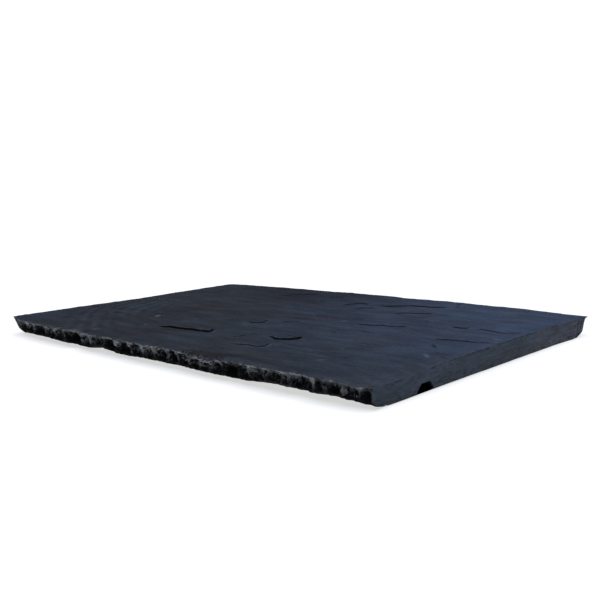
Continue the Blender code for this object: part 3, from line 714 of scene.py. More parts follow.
def build_slab():
    s = Surface()
    cells = (CELLS_X, CELLS_Y)
    half = np.array([LENGTH / 2 - MARGIN, WIDTH / 2 - MARGIN])

    # Inner grid of the top.
    gx = np.linspace(-half[0], half[0], CELLS_X + 1)
    gy = np.linspace(-half[1], half[1], CELLS_Y + 1)
    grid_x, grid_y = np.meshgrid(gx, gy)
    reach = (gx[1] - gx[0], gy[1] - gy[0])
    moved_x, moved_y = snap_to_steps(grid_x, grid_y, reach)
    inside = np.zeros(grid_x.shape, bool)
    inside[2:-2, 2:-2] = True
    grid_x, grid_y = np.where(inside, moved_x, grid_x), np.where(inside, moved_y, grid_y)
    line, dark = nearest_step(grid_x, grid_y)
    grid = s.add(
        np.column_stack([grid_x.ravel(), grid_y.ravel()]),
        top_height(grid_x, grid_y).ravel(),
        line=line.ravel(),
        dark=dark.ravel(),
        below=-20.0,
    )

    jj, ii = np.meshgrid(np.arange(CELLS_Y), np.arange(CELLS_X), indexing="ij")
    a = grid + jj * (CELLS_X + 1) + ii
    quads = np.stack([a, a + 1, a + CELLS_X + 2, a + CELLS_X + 1], -1).reshape(-1, 4)
    top_faces = quads.tolist()

    rim = (
        [grid + i for i in range(CELLS_X)]
        + [grid + j * (CELLS_X + 1) + CELLS_X for j in range(CELLS_Y)]
        + [grid + CELLS_Y * (CELLS_X + 1) + i for i in range(CELLS_X, 0, -1)]
        + [grid + j * (CELLS_X + 1) for j in range(CELLS_Y, 0, -1)]
    )
    count = 2 * len(rim)
    flat = np.concatenate(s.xy)
    rim_points = flat[rim]
    target = np.empty((count, 2))
    target[0::2] = rim_points
    target[1::2] = (rim_points + np.roll(rim_points, -1, axis=0)) / 2

    # Band of the top, from the arris inwards.
    def per_side(function):
        return ring_values(cells, function)

    arris = ring_points(cells, 1.0)
    drop = per_side(arris_drop)
    big_drop = per_side(crest_chips)
    dressed = per_side(lambda k, p: np.full(p.shape, float(k != RIGHT)))
    frontal = per_side(lambda k, p: np.full(p.shape, float(k == FRONT)))
    place = per_side(lambda k, p: p + 1000.0 * k)
    crest_high, crest_pale = (per_side(lambda k, p, i=i: crest_at(k, p)[i]) for i in (0, 1))
    chipped = per_side(lambda k, p: float(k == FRONT) * smooth(p, 338, 385) * smooth(-p, -447, -405))
    bands = []
    for share in TOP_BAND:
        plan = arris * (1 - share) + target * share
        gap = np.hypot(*(plan - arris).T)
        sloped = np.exp(-((gap / 4.4) ** 2))
        z = top_height(plan[:, 0], plan[:, 1]) - drop * sloped - big_drop * np.exp(-((gap / 9.0) ** 2))
        line, dark = nearest_step(plan[:, 0], plan[:, 1])
        dirty = chipped * smooth(gap, 0.4, 1.6) * (1 - smooth(gap, 12.0, 34.0))
        bands.append(
            s.add(plan, z, line=line, dark=dark, below=-gap, crest=crest_high, pale=crest_pale, dirt=dirty, sawn=1 - dressed, front=frontal)
        )

    # Sides.
    arris_z = s.z[1].copy()
    low_z = per_side(lower_edge)
    rings, strip_v = [], [0.0]
    previous = None
    for h in SIDE_RINGS:
        plan = ring_points(cells, h)
        z = low_z + (arris_z - low_z) * h
        if previous is not None:
            strip_v.append(strip_v[-1] + float(np.mean(np.sqrt(((plan - previous[0]) ** 2).sum(1) + (z - previous[1]) ** 2))))
        previous = (plan, z)
        down = 1 - h
        hang, tone = (per_side(lambda k, p, h=h, i=i: hang_at(k, p, h)[i]) for i in (0, 1))
        grey = per_side(lambda k, p, h=h: grey_at(k, leaning(k, p, h)))
        scar = per_side(
            lambda k, p, h=h: sum((scoop(leaning(k, p, h), f, l, q) * d / 5.0 for f, l, d, _, q, _ in scars_of(k)), np.zeros(p.shape))
        )
        in_chip = per_side(lambda k, p, h=h: np.clip(chip_reach(p) - h * THICKNESS, -4, 4) if k == RIGHT else np.full(p.shape, -4.0))
        # The deep mask is painted shade: dark in each scar's hollow and low down on the dressed sides, and along the
        # foot of the sawn side.
        deep = dressed * np.clip(scar * smooth(down, 0.08, 0.30) * 0.9 + 0.7 * smooth(down, 0.55, 0.95), 0, 1)
        deep = deep + (1 - dressed) * 0.8 * smooth(down, 0.95, 1.0)
        rings.append(
            s.add(
                plan,
                z,
                line=9.0,
                below=(1 - h) * THICKNESS,
                crest=crest_high,
                pale=crest_pale,
                hang=hang,
                tone=tone,
                deep=np.clip(deep, 0, 1),
                grey=grey,
                chip=in_chip,
                sawn=1 - dressed,
            )
        )

    # Border of the underside, then the bed.
    bed_half = np.array([LENGTH / 2 - BED_MARGIN, WIDTH / 2 - BED_MARGIN])
    bed_target = target * (bed_half / half)
    lowest = ring_points(cells, 0.0)

    def bed_height(x, y):
        worn = 0.45 * layered(x / 95, y / 60, 111, 3) + 0.12 * noise(x / 12, y / 12, 114) + 0.05
        return np.clip(worn, 0.0, 0.9)

    border = [rings[-1]]
    for share in (0.08, 0.2, 0.45, 1.0):
        plan = lowest * (1 - share) + bed_target * share
        edge = low_z * (1 - smooth(share, 0.0, 1.0))
        z = edge + bed_height(plan[:, 0], plan[:, 1]) * smooth(share, 0.0, 0.5)
        border.append(s.add(plan, z, line=9.0, below=20.0, bed=1.0))

    # Three halvings of the ring, and the coarse bed grid inside them.
    bx, by = CELLS_X // 4, CELLS_Y // 4
    bed_grid_half = bed_half - 24.0
    cx = np.linspace(-bed_grid_half[0], bed_grid_half[0], bx + 1)
    cy = np.linspace(-bed_grid_half[1], bed_grid_half[1], by + 1)
    bed_x, bed_y = np.meshgrid(cx, cy)
    bed = s.add(np.column_stack([bed_x.ravel(), bed_y.ravel()]), bed_height(bed_x, bed_y).ravel(), line=9.0, below=20.0, bed=1.0)
    bed_rim = (
        [bed + i for i in range(bx)]
        + [bed + j * (bx + 1) + bx for j in range(by)]
        + [bed + by * (bx + 1) + i for i in range(bx, 0, -1)]
        + [bed + j * (bx + 1) for j in range(by, 0, -1)]
    )
    flat = np.concatenate(s.xy)
    inner = flat[bed_rim]  # count / 8 points
    n8 = len(bed_rim)
    assert count == 8 * n8

    def spread(points, times):
        n = len(points) * times
        t = np.arange(n) / times
        low = np.floor(t).astype(int)
        f = (t - low)[:, None]
        return points[low] * (1 - f) + points[(low + 1) % len(points)] * f

    mid_a = bed_target[::2] * (2 / 3) + spread(inner, 4) * (1 / 3)
    ring_a = s.add(mid_a, bed_height(mid_a[:, 0], mid_a[:, 1]), line=9.0, below=20.0, bed=1.0)
    mid_b = bed_target[::4] * (1 / 3) + spread(inner, 2) * (2 / 3)
    ring_b = s.add(mid_b, bed_height(mid_b[:, 0], mid_b[:, 1]), line=9.0, below=20.0, bed=1.0)

    xy, z = np.concatenate(s.xy), np.concatenate(s.z)

    # ---- faces with their chart
    faces, uvs, kinds = [], [], []

    def top_uv(v):
        return np.column_stack([TOP_AT[0] + (xy[v, 0] + LENGTH / 2 + 4) * PER_MM, TOP_AT[1] - (WIDTH / 2 + 5 - xy[v, 1]) * PER_MM])

    def bed_uv(v):
        return np.column_stack([BED_AT[0] + (LENGTH / 2 + 4 - xy[v, 0]) * PER_MM * 0.8, BED_AT[1] - (WIDTH / 2 + 5 - xy[v, 1]) * PER_MM * 0.8])

    def put(found, chart):
        found = np.asarray(found)
        faces.extend(found.tolist())
        uvs.append(chart(found.reshape(-1)))
        kinds.append(np.zeros(len(found), int))

    signs = np.concatenate(s.masks["line"])[quads]
    above = signs > 0
    crossed = above.any(axis=1) & ~above.all(axis=1) & (np.abs(signs).min(axis=1) < 1.0)
    level = above[:, 0] == above[:, 2]
    put(quads[~crossed], top_uv)
    for chosen, cut in ((crossed & level, ((0, 1, 2), (0, 2, 3))), (crossed & ~level, ((0, 1, 3), (1, 2, 3)))):
        for corners in cut:
            put(quads[chosen][:, corners], top_uv)
    k = np.arange(count)
    nxt = (k + 1) % count
    for outer, innr in zip(bands, bands[1:]):
        put(np.stack([outer + k, outer + nxt, innr + nxt, innr + k], -1), top_uv)
    last = bands[-1]
    m = np.arange(len(rim))
    rim_a = np.array(rim)
    near, far = rim_a, np.roll(rim_a, -1)
    aa, bb, cc = last + 2 * m, last + 2 * m + 1, last + (2 * m + 2) % count
    put(np.concatenate([np.stack([aa, bb, near], -1), np.stack([bb, far, near], -1), np.stack([bb, cc, far], -1)]), top_uv)

    strip_v = np.array(strip_v)
    strip_wide = 0.043 / strip_v[-1]
    starts = np.concatenate([[0], np.cumsum(ring_steps(cells))])
    for r, (upper, lower) in enumerate(zip(rings, rings[1:])):
        found = np.stack([lower + k, lower + nxt, upper + nxt, upper + k], -1)
        side = np.searchsorted(starts, k, side="right") - 1
        local = (k - starts[side]) / np.array(ring_steps(cells))[side]
        step = 1.0 / np.array(ring_steps(cells))[side]
        length = np.array([SIDES[i][3] for i in range(4)])[side] * PER_MM
        x0 = np.array(STRIP_X)[side]
        low_u, high_u = x0 + strip_v[r + 1] * strip_wide, x0 + strip_v[r] * strip_wide
        v0, v1 = 0.005 + local * length, 0.005 + (local + step) * length
        uv = np.stack([np.stack([low_u, v0], -1), np.stack([low_u, v1], -1), np.stack([high_u, v1], -1), np.stack([high_u, v0], -1)], 1)
        faces.extend(found.tolist())
        uvs.append(uv.reshape(-1, 2))
        kinds.append(np.where(side == RIGHT, 2, 1))

    for upper, lower in zip(border, border[1:]):
        put(np.stack([lower + k, lower + nxt, upper + nxt, upper + k], -1), bed_uv)

    def halve(outer, n, innr):
        """Faces between a ring of n points and one of n / 2 inside it, seen from below."""
        m = np.arange(n // 2)
        a, b, c = outer[2 * m], outer[2 * m + 1], outer[(2 * m + 2) % n]
        near, far = innr[m], innr[(m + 1) % (n // 2)]
        put(np.concatenate([np.stack([a, near, b], -1), np.stack([b, near, far], -1), np.stack([b, far, c], -1)]), bed_uv)

    halve(border[-1] + np.arange(count), count, ring_a + np.arange(count // 2))
    halve(ring_a + np.arange(count // 2), count // 2, ring_b + np.arange(count // 4))
    halve(ring_b + np.arange(count // 4), count // 4, np.array(bed_rim))
    jj, ii = np.meshgrid(np.arange(by), np.arange(bx), indexing="ij")
    a = bed + jj * (bx + 1) + ii
    put(np.stack([a, a + bx + 1, a + bx + 2, a + 1], -1).reshape(-1, 4), bed_uv)

    centre = cad_centre()
    co = np.column_stack([(xy - centre) * MM, z * MM])
    masks = {name: np.concatenate(v) for name, v in s.masks.items()}
    return co, faces, np.concatenate(uvs), np.concatenate(kinds), masks


co, faces, uvs, kinds, masks = build_slab()
mesh = bpy.data.meshes.new("riven_slab")
mesh.from_pydata(co.tolist(), [], faces)
mesh.update()
layer = mesh.uv_layers.new(name="OFBake")
layer.data.foreach_set("uv", uvs.astype(np.float32).ravel())
for name, values in masks.items():
    attribute = mesh.attributes.new(name, "FLOAT", "POINT")
    attribute.data.foreach_set("value", values.astype(np.float32))
mesh.polygons.foreach_set("material_index", kinds.astype(np.int32))
mesh.shade_smooth()
mesh.set_sharp_from_angle(angle=math.radians(38))
slab = bpy.data.objects.new("riven_slab", mesh)
bpy.context.scene.collection.objects.link(slab)
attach(slab, "root")
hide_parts("slate_slab")
print("slab", len(faces), "faces", sum(len(f) - 2 for f in faces), "triangles")


# ---------------------------------------------------------------- materials
class Nodes:
    """Short names for building one node tree."""

    def __init__(self, tree):
        self.tree = tree
        tree.nodes.clear()

    def new(self, kind, **values):
        node = self.tree.nodes.new(kind)
        for key, value in values.items():
            setattr(node, key, value)
        return node

    def join(self, source, target):
        self.tree.links.new(source, target)

    def put(self, socket, value):
        if isinstance(value, bpy.types.NodeSocket):
            self.join(value, socket)
        else:
            socket.default_value = value

    def math(self, operation, a, b=0.0, c=None, clamp=False):
        node = self.new("ShaderNodeMath", operation=operation, use_clamp=clamp)
        self.put(node.inputs[0], a)
        self.put(node.inputs[1], b)
        if c is not None:
            self.put(node.inputs[2], c)
        return node.outputs[0]

    def span(self, value, low, high, to_low=0.0, to_high=1.0, kind="SMOOTHSTEP"):
        node = self.new("ShaderNodeMapRange", interpolation_type=kind)
        self.put(node.inputs["Value"], value)
        self.put(node.inputs["From Min"], low)
        self.put(node.inputs["From Max"], high)
        self.put(node.inputs["To Min"], to_low)
        self.put(node.inputs["To Max"], to_high)
        return node.outputs["Result"]

    def mix(self, share, a, b, blend="MIX"):
        node = self.new("ShaderNodeMix", data_type="RGBA", blend_type=blend)
        self.put(node.inputs[0], share)
        self.put(node.inputs[6], a)
        self.put(node.inputs[7], b)
        return node.outputs[2]

    def blend(self, share, a, b):
        node = self.new("ShaderNodeMix", data_type="FLOAT")
        self.put(node.inputs[0], share)
        self.put(node.inputs[2], a)
        self.put(node.inputs[3], b)
        return node.outputs[0]

    def scaled(self, vector, scale, turn=(0.0, 0.0, 0.0)):
        node = self.new("ShaderNodeMapping")
        self.join(vector, node.inputs["Vector"])
        node.inputs["Scale"].default_value = scale
        node.inputs["Rotation"].default_value = turn
        return node.outputs["Vector"]

    def noise(self, vector, scale, detail=3.0, rough=0.5, distort=0.0):
        node = self.new("ShaderNodeTexNoise")
        self.join(vector, node.inputs["Vector"])
        node.inputs["Scale"].default_value = scale
        node.inputs["Detail"].default_value = detail
        node.inputs["Roughness"].default_value = rough
        node.inputs["Distortion"].default_value = distort
        return node.outputs["Fac"]

    def mask(self, name):
        return self.new("ShaderNodeAttribute", attribute_name=name).outputs["Fac"]


def rgb(r, g, b):
    return (r, g, b, 1.0)


def spots(n, place, rows, soft=1.6):
    """How far a point is inside the nearest of some flat ellipses on the top, 0 outside to 1 in the middle."""
    total = None
    for x, y, half_x, half_y, turn, strength in rows:
        node = n.new("ShaderNodeMapping", vector_type="TEXTURE")
        n.join(place, node.inputs["Vector"])
        node.inputs["Location"].default_value = (x * MM, y * MM, 0.022)
        node.inputs["Rotation"].default_value = (0.0, 0.0, math.radians(turn))
        node.inputs["Scale"].default_value = (half_x * MM * soft, half_y * MM * soft, 0.012)
        ball = n.new("ShaderNodeTexGradient", gradient_type="SPHERICAL")
        n.join(node.outputs[0], ball.inputs[0])
        value = n.math("MULTIPLY", ball.outputs["Fac"], strength)
        total = value if total is None else n.math("MAXIMUM", total, value)
    return n.span(total, 0.0, 0.75)


def stone(name, specular):
    material = bpy.data.materials.new(name)
    material.use_nodes = True
    n = Nodes(material.node_tree)
    out = n.new("ShaderNodeOutputMaterial")
    shader = n.new("ShaderNodeBsdfPrincipled")
    shader.inputs["Specular IOR Level"].default_value = specular
    n.join(shader.outputs["BSDF"], out.inputs["Surface"])
    place = n.new("ShaderNodeTexCoord").outputs["Object"]
    return material, n, shader, place


def powdered(n, place, colour, on_top):
    """Crushed stone along the arris is pale and granular. Returns the colour and how crushed each point is."""
    below, crest, pale = n.mask("below"), n.mask("crest"), n.mask("pale")
    lump = n.math("SUBTRACT", n.noise(place, 420.0, 4.0, 0.65), 0.5)
    speck = n.noise(place, 900.0, 2.0, 0.7)
    if on_top:
        inner = n.math("MULTIPLY", n.math("ADD", n.math("MULTIPLY", crest, 0.55), 0.35), n.math("ADD", n.math("MULTIPLY", lump, 5.0), 1.0))
        far = n.math("LESS_THAN", n.mask("front"), 0.5)
        powder = n.math("MULTIPLY", n.span(n.math("ADD", inner, below), -0.4, 0.6), n.math("MULTIPLY", pale, n.math("SUBTRACT", 0.75, n.math("MULTIPLY", far, 0.68))))
        broken = n.noise(place, 190.0, 3.0, 0.6)
        powder = n.math("MULTIPLY", powder, n.span(broken, 0.43, 0.57, 0.15, 1.2))
    else:
        outer = n.math("MULTIPLY", crest, n.math("ADD", n.math("MULTIPLY", lump, 4.0), 1.15))
        powder = n.math("MULTIPLY", n.span(n.math("SUBTRACT", outer, below), -0.3, 0.5), pale)
        broken = n.noise(place, 190.0, 3.0, 0.6)
        powder = n.math("MULTIPLY", powder, n.span(broken, 0.43, 0.57, 0.15, 1.2))
        hanging = n.math("ADD", n.mask("hang"), n.math("MULTIPLY", lump, 6.0))
        hanging = n.math("MULTIPLY", n.span(hanging, -0.7, 0.7), n.mask("tone"))
        crumbled = n.noise(place, 330.0, 3.0, 0.7)
        hanging = n.math("MULTIPLY", hanging, n.span(crumbled, 0.40, 0.58, 0.25, 1.25))
        powder = n.math("MAXIMUM", powder, n.math("MULTIPLY", hanging, n.span(broken, 0.34, 0.52, 0.55, 1.1)))
    powder = n.math("MULTIPLY", powder, n.span(speck, 0.34, 0.64, 0.45, 1.35), clamp=True)
    powder = n.math("MULTIPLY", powder, 0.86)
    return n.mix(powder, colour, rgb(0.290, 0.315, 0.340)), powder


def raised(n, shader, relief):
    bump = n.new("ShaderNodeBump")
    bump.inputs["Strength"].default_value = 1.0
    bump.inputs["Distance"].default_value = 0.001
    n.join(relief, bump.inputs["Height"])
    n.join(bump.outputs["Normal"], shader.inputs["Normal"])


def centred(n, value, amount):
    """A noise moved to swing round 0 by the given amount."""
    return n.math("MULTIPLY", n.math("SUBTRACT", value, 0.5), amount)


def total(n, *values):
    result = values[0]
    for value in values[1:]:
        result = n.math("ADD", result, value)
    return result


def tinted(n, colour, shade):
    """A colour made lighter or darker by the factor."""
    node = n.new("ShaderNodeVectorMath", operation="SCALE")
    n.put(node.inputs[0], colour)
    n.put(node.inputs["Scale"], shade)
    return node.outputs[0]


def bent_place(n, place, scale, pull):
    """The place, pushed about by a soft noise, so that patterns on it wander."""
    warp = n.new("ShaderNodeTexNoise")
    n.join(place, warp.inputs["Vector"])
    warp.inputs["Scale"].default_value = scale
    moved = n.new("ShaderNodeVectorMath", operation="SCALE")
    n.join(warp.outputs["Color"], moved.inputs[0])
    moved.inputs["Scale"].default_value = pull
    bent = n.new("ShaderNodeVectorMath", operation="ADD")
    n.join(place, bent.inputs[0])
    n.join(moved.outputs[0], bent.inputs[1])
    return bent.outputs[0]


SAWN_NEAR = (0.0305, 0.0425, 0.0625)
# The far end's colour is painted lighter, standing in for light from the right.
SAWN_FAR_PAINTED_LIGHT = (0.0430, 0.0500, 0.0720)


def cleft_material():
    """The split face, and the bed below."""
    material, n, shader, place = stone("slate_cleft", 0.3)
    bed, line, dark, dirt = n.mask("bed"), n.mask("line"), n.mask("dark"), n.mask("dirt")

    # Broad clouding, patches, streaks along the slab, mottling and grain.
    bent = bent_place(n, place, 9.0, 0.03)
    along = n.scaled(bent, (0.26, 1.0, 1.0), (0.0, 0.0, math.radians(-10)))
    cloud = n.noise(place, 5.0, 4.0, 0.55)
    patch = n.noise(bent, 26.0, 4.0, 0.6)
    streak = n.noise(along, 75.0, 5.0, 0.62, 0.2)
    mottle = n.noise(place, 230.0, 4.0, 0.62)
    grain = n.noise(place, 900.0, 2.0, 0.6)
    split = n.new("ShaderNodeSeparateXYZ")
    n.join(place, split.inputs[0])
    drawn_out = n.span(split.outputs["X"], -0.10, 0.16, 0.72, 1.1)
    shade = total(
        n,
        1.0,
        centred(n, cloud, 0.9),
        centred(n, patch, 0.8),
        n.math("MULTIPLY", centred(n, streak, 1.3), drawn_out),
        n.math("MULTIPLY", centred(n, mottle, 1.2), drawn_out),
        centred(n, grain, 0.9),
    )
    hue = n.span(total(n, n.noise(place, 11.0, 3.0, 0.5), centred(n, patch, 0.5)), 0.36, 0.64)
    colour = n.mix(hue, rgb(0.0290, 0.0308, 0.0375), rgb(0.0268, 0.0330, 0.0430))
    brown = n.math("MULTIPLY", spots(n, place, BROWN_STAINS), n.span(n.noise(place, 60.0, 4.0, 0.65), 0.30, 0.62, 0.35, 1.0))
    colour = n.mix(n.math("MULTIPLY", brown, 0.75), colour, rgb(0.0290, 0.0255, 0.0265))
    colour = tinted(n, colour, n.math("MAXIMUM", shade, 0.35))
    # Painted sheen: bluer and lighter in the sheen zones.
    colour = n.mix(spots(n, place, PAINTED_SHEEN_ZONES, 1.0), n.mix(1.0, colour, rgb(1.02, 1.06, 1.10), "MULTIPLY"), n.mix(1.0, colour, rgb(1.40, 1.60, 2.05), "MULTIPLY"))
    colour = n.mix(spots(n, place, DULL_ZONES, 1.0), colour, n.mix(1.0, colour, rgb(0.61, 0.61, 0.68), "MULTIPLY"))

    # Curved ripples over the left of the face.
    centre = n.new("ShaderNodeVectorMath", operation="SUBTRACT")
    n.join(bent, centre.inputs[0])
    centre.inputs[1].default_value = (-0.023, 0.069, 0.022)
    away = n.new("ShaderNodeVectorMath", operation="LENGTH")
    n.join(centre.outputs[0], away.inputs[0])
    away = away.outputs["Value"]
    wave = n.math("SINE", n.math("MULTIPLY", away, 390.0))
    region = n.math("MULTIPLY", n.span(away, 0.16, 0.20), n.span(away, 0.25, 0.30, 1.0, 0.0))
    region = n.math("MULTIPLY", region, n.span(split.outputs["X"], -0.16, -0.10, 1.0, 0.0))
    region = n.math("MULTIPLY", region, n.span(n.noise(place, 30.0, 2.0), 0.35, 0.6))
    ripple = n.math("MULTIPLY", wave, region)
    colour = tinted(n, colour, n.math("ADD", 1.0, n.math("MULTIPLY", ripple, 0.36)))

    # Bruises with painted reflections, holes with painted shade, painted shade in the steps' seams and on their steep
    # faces, and the dirt behind the chipped arris.
    # Pale bruises, and painted reflections in the long thin pale spots.
    bright = n.math("MULTIPLY", spots(n, place, PALE_SPOTS_AND_REFLECTIONS), n.span(mottle, 0.30, 0.62, 0.35, 1.0))
    colour = n.mix(bright, colour, rgb(0.110, 0.128, 0.165))
    # Holes, and painted shade beside the arrises, in the dark spots.
    hole = n.math("MULTIPLY", spots(n, place, DARK_SPOTS_AND_SHADE), n.span(mottle, 0.35, 0.6, 0.5, 1.0))
    colour = n.mix(hole, colour, rgb(0.0050, 0.0048, 0.0048))
    drawn = n.new("ShaderNodeMapping", vector_type="TEXTURE")
    n.join(place, drawn.inputs["Vector"])
    drawn.inputs["Rotation"].default_value = (0.0, 0.0, math.radians(38))
    drawn.inputs["Scale"].default_value = (1.0, 3.0, 1.0)
    speckled = n.span(n.noise(drawn.outputs[0], 420.0, 2.0, 0.7), 0.44, 0.55, 0.0, 1.0)
    speckled = n.math("MULTIPLY", speckled, n.span(n.math("ADD", dirt, centred(n, patch, 0.9)), 0.15, 0.65))
    colour = n.mix(speckled, colour, rgb(0.0062, 0.0056, 0.0058))
    # Painted shade along each step's seam.
    ragged = n.math("ADD", n.math("ABSOLUTE", line), centred(n, mottle, 1.6))
    dark = n.math("MULTIPLY", dark, n.span(split.outputs["X"], 0.16, 0.23, 1.0, 0.7))
    broad = n.span(split.outputs["Y"], 0.02, 0.09)
    dark = n.math("MULTIPLY", dark, n.math("ADD", 1.0, n.math("MULTIPLY", broad, 0.25)))
    wide = n.math("SUBTRACT", 2.6, n.math("MULTIPLY", dark, 1.3))
    wide = n.math("ADD", wide, n.math("MULTIPLY", broad, 1.9))
    seam = n.math("SUBTRACT", 1.0, n.span(n.math("DIVIDE", ragged, wide), 0.35, 1.0))
    seam = n.math("MULTIPLY", seam, n.math("MULTIPLY", dark, 1.25), clamp=True)
    # Painted highlight on the layer beside each seam.
    lip = n.math("MULTIPLY", n.span(n.math("ABSOLUTE", line), 1.2, 6.5, 1.0, 0.0), n.math("MULTIPLY", dark, 0.35))
    colour = tinted(n, colour, n.math("ADD", 1.0, lip))
    colour = n.mix(seam, colour, rgb(0.0026, 0.0028, 0.0036))
    # Painted shade on the steep faces of the top's steps, away from the arris.
    slope = n.new("ShaderNodeSeparateXYZ")
    n.join(n.new("ShaderNodeNewGeometry").outputs["True Normal"], slope.inputs[0])
    steep = n.math("MULTIPLY", n.span(slope.outputs["Z"], 0.95, 0.99, 1.0, 0.0), n.span(n.mask("below"), -9.0, -6.0, 1.0, 0.0))
    steep = n.math("MULTIPLY", steep, n.math("SUBTRACT", 1.0, bed))
    colour = n.mix(n.math("MULTIPLY", steep, n.span(dark, 0.05, 0.5, 0.3, 0.95)), colour, rgb(0.0030, 0.0032, 0.0040))
    # The sawn side's colour runs unevenly over its arris.
    worn = total(n, centred(n, n.noise(place, 45.0, 3.0, 0.6), 9.0), centred(n, mottle, 5.0), -1.2)
    over = n.math("MULTIPLY", n.span(n.math("ADD", worn, n.mask("below")), -0.4, 0.6), n.mask("sawn"))
    colour = n.mix(over, colour, tinted(n, SAWN_NEAR, n.math("MAXIMUM", shade, 0.35)))
    under = n.mix(n.span(mottle, 0.35, 0.65), rgb(0.017, 0.018, 0.021), rgb(0.036, 0.038, 0.043))
    colour = n.mix(bed, colour, under)
    colour, powder = powdered(n, place, colour, True)
    n.join(colour, shader.inputs["Base Color"])

    rough = n.span(streak, 0.3, 0.7, 0.32, 0.43)
    face = n.span(n.math("ABSOLUTE", line), 0.17, 0.35, 1.0, 0.0)
    arris = n.math("MULTIPLY", n.span(n.mask("below"), -3.5, -1.0), n.mask("sawn"))
    rough = n.blend(n.math("MAXIMUM", arris, over), rough, 0.55)
    rough = n.blend(n.math("MAXIMUM", n.math("MAXIMUM", powder, speckled), n.math("MAXIMUM", face, steep)), rough, 0.9)
    rough = n.blend(bed, rough, 0.7)
    n.join(rough, shader.inputs["Roughness"])

    fine = n.noise(along, 250.0, 5.0, 0.62, 0.3)
    relief = total(
        n,
        n.math("MULTIPLY", fine, 0.34),
        n.math("MULTIPLY", n.math("MULTIPLY", streak, 0.60), drawn_out),
        n.math("MULTIPLY", mottle, 0.22),
        n.math("MULTIPLY", grain, 0.05),
        n.math("MULTIPLY", ripple, 0.26),
    )
    raised(n, shader, relief)
    return material


def dressed_material():
    """The hand-dressed sides: black flake scars, greyer where the break is coarse, with a crushed arris; painted shade
    darkens the scars' hollows and the lower half, and painted highlights mark the facets' ridges.
    """
    material, n, shader, place = stone("slate_dressed", 0.06)
    deep, grey, below = n.mask("deep"), n.mask("grey"), n.mask("below")
    bent = bent_place(n, place, 170.0, 0.006)
    tall = n.scaled(bent, (1.0, 1.0, 0.55), (0.0, math.radians(8), 0.0))
    facet = n.new("ShaderNodeTexVoronoi", feature="F1")
    n.join(tall, facet.inputs["Vector"])
    facet.inputs["Scale"].default_value = 260.0
    tone = n.new("ShaderNodeSeparateColor")
    n.join(facet.outputs["Color"], tone.inputs[0])
    ridge = n.new("ShaderNodeTexVoronoi", feature="DISTANCE_TO_EDGE")
    n.join(tall, ridge.inputs["Vector"])
    ridge.inputs["Scale"].default_value = 260.0
    patch = n.noise(tall, 330.0, 4.0, 0.66, 0.8)
    coarse = n.noise(place, 90.0, 3.0, 0.6)
    fine = n.noise(place, 800.0, 3.0, 0.65)
    # The deep mask takes painted shade off the level in the scars' hollows and low down.
    level = total(
        n,
        0.07,
        n.math("MULTIPLY", grey, 0.50),
        centred(n, tone.outputs[0], 1.05),
        centred(n, patch, 3.2),
        centred(n, coarse, 0.7),
        centred(n, fine, 1.9),
        n.math("MULTIPLY", deep, -0.17),
        n.span(total(n, below, centred(n, patch, 8.0)), 2.0, 10.0, 0.05, 0.0),
    )
    # The lower half of the break is painted black: painted shade where it is undercut and faces down.
    foot = n.span(total(n, below, centred(n, patch, 12.0), centred(n, coarse, 10.0)), 8.5, 19.5, 0.0, 0.85)
    level = n.math("SUBTRACT", level, foot)
    split = n.new("ShaderNodeSeparateXYZ")
    n.join(place, split.inputs[0])
    darker = n.span(split.outputs["X"], 0.10, 0.15, 0.0, 0.20)
    level = n.math("SUBTRACT", level, n.math("MULTIPLY", darker, n.span(below, 3.0, 8.0)))
    warmth = n.noise(place, 55.0, 3.0, 0.6)
    broken_stone = n.mix(n.span(warmth, 0.40, 0.60), rgb(0.098, 0.112, 0.134), rgb(0.112, 0.110, 0.106))
    colour = n.mix(n.span(level, 0.0, 1.0), rgb(0.0020, 0.0023, 0.0029), broken_stone)
    # Painted highlights along the ridges of the facets.
    painted_ridge_highlight = n.math("MULTIPLY", n.span(ridge.outputs["Distance"], 0.0, 0.09, 1.0, 0.0), n.span(n.math("ADD", level, centred(n, patch, 1.2)), 0.10, 0.6, 0.0, 0.7))
    colour = n.mix(painted_ridge_highlight, colour, rgb(0.100, 0.110, 0.128))
    colour, powder = powdered(n, place, colour, False)
    n.join(colour, shader.inputs["Base Color"])
    n.join(n.blend(powder, 0.62, 0.85), shader.inputs["Roughness"])
    chips = n.math("MULTIPLY", n.noise(n.scaled(place, (1.0, 1.0, 2.2)), 330.0, 5.0, 0.72, 0.6), 1.5)
    raised(n, shader, chips)
    return material


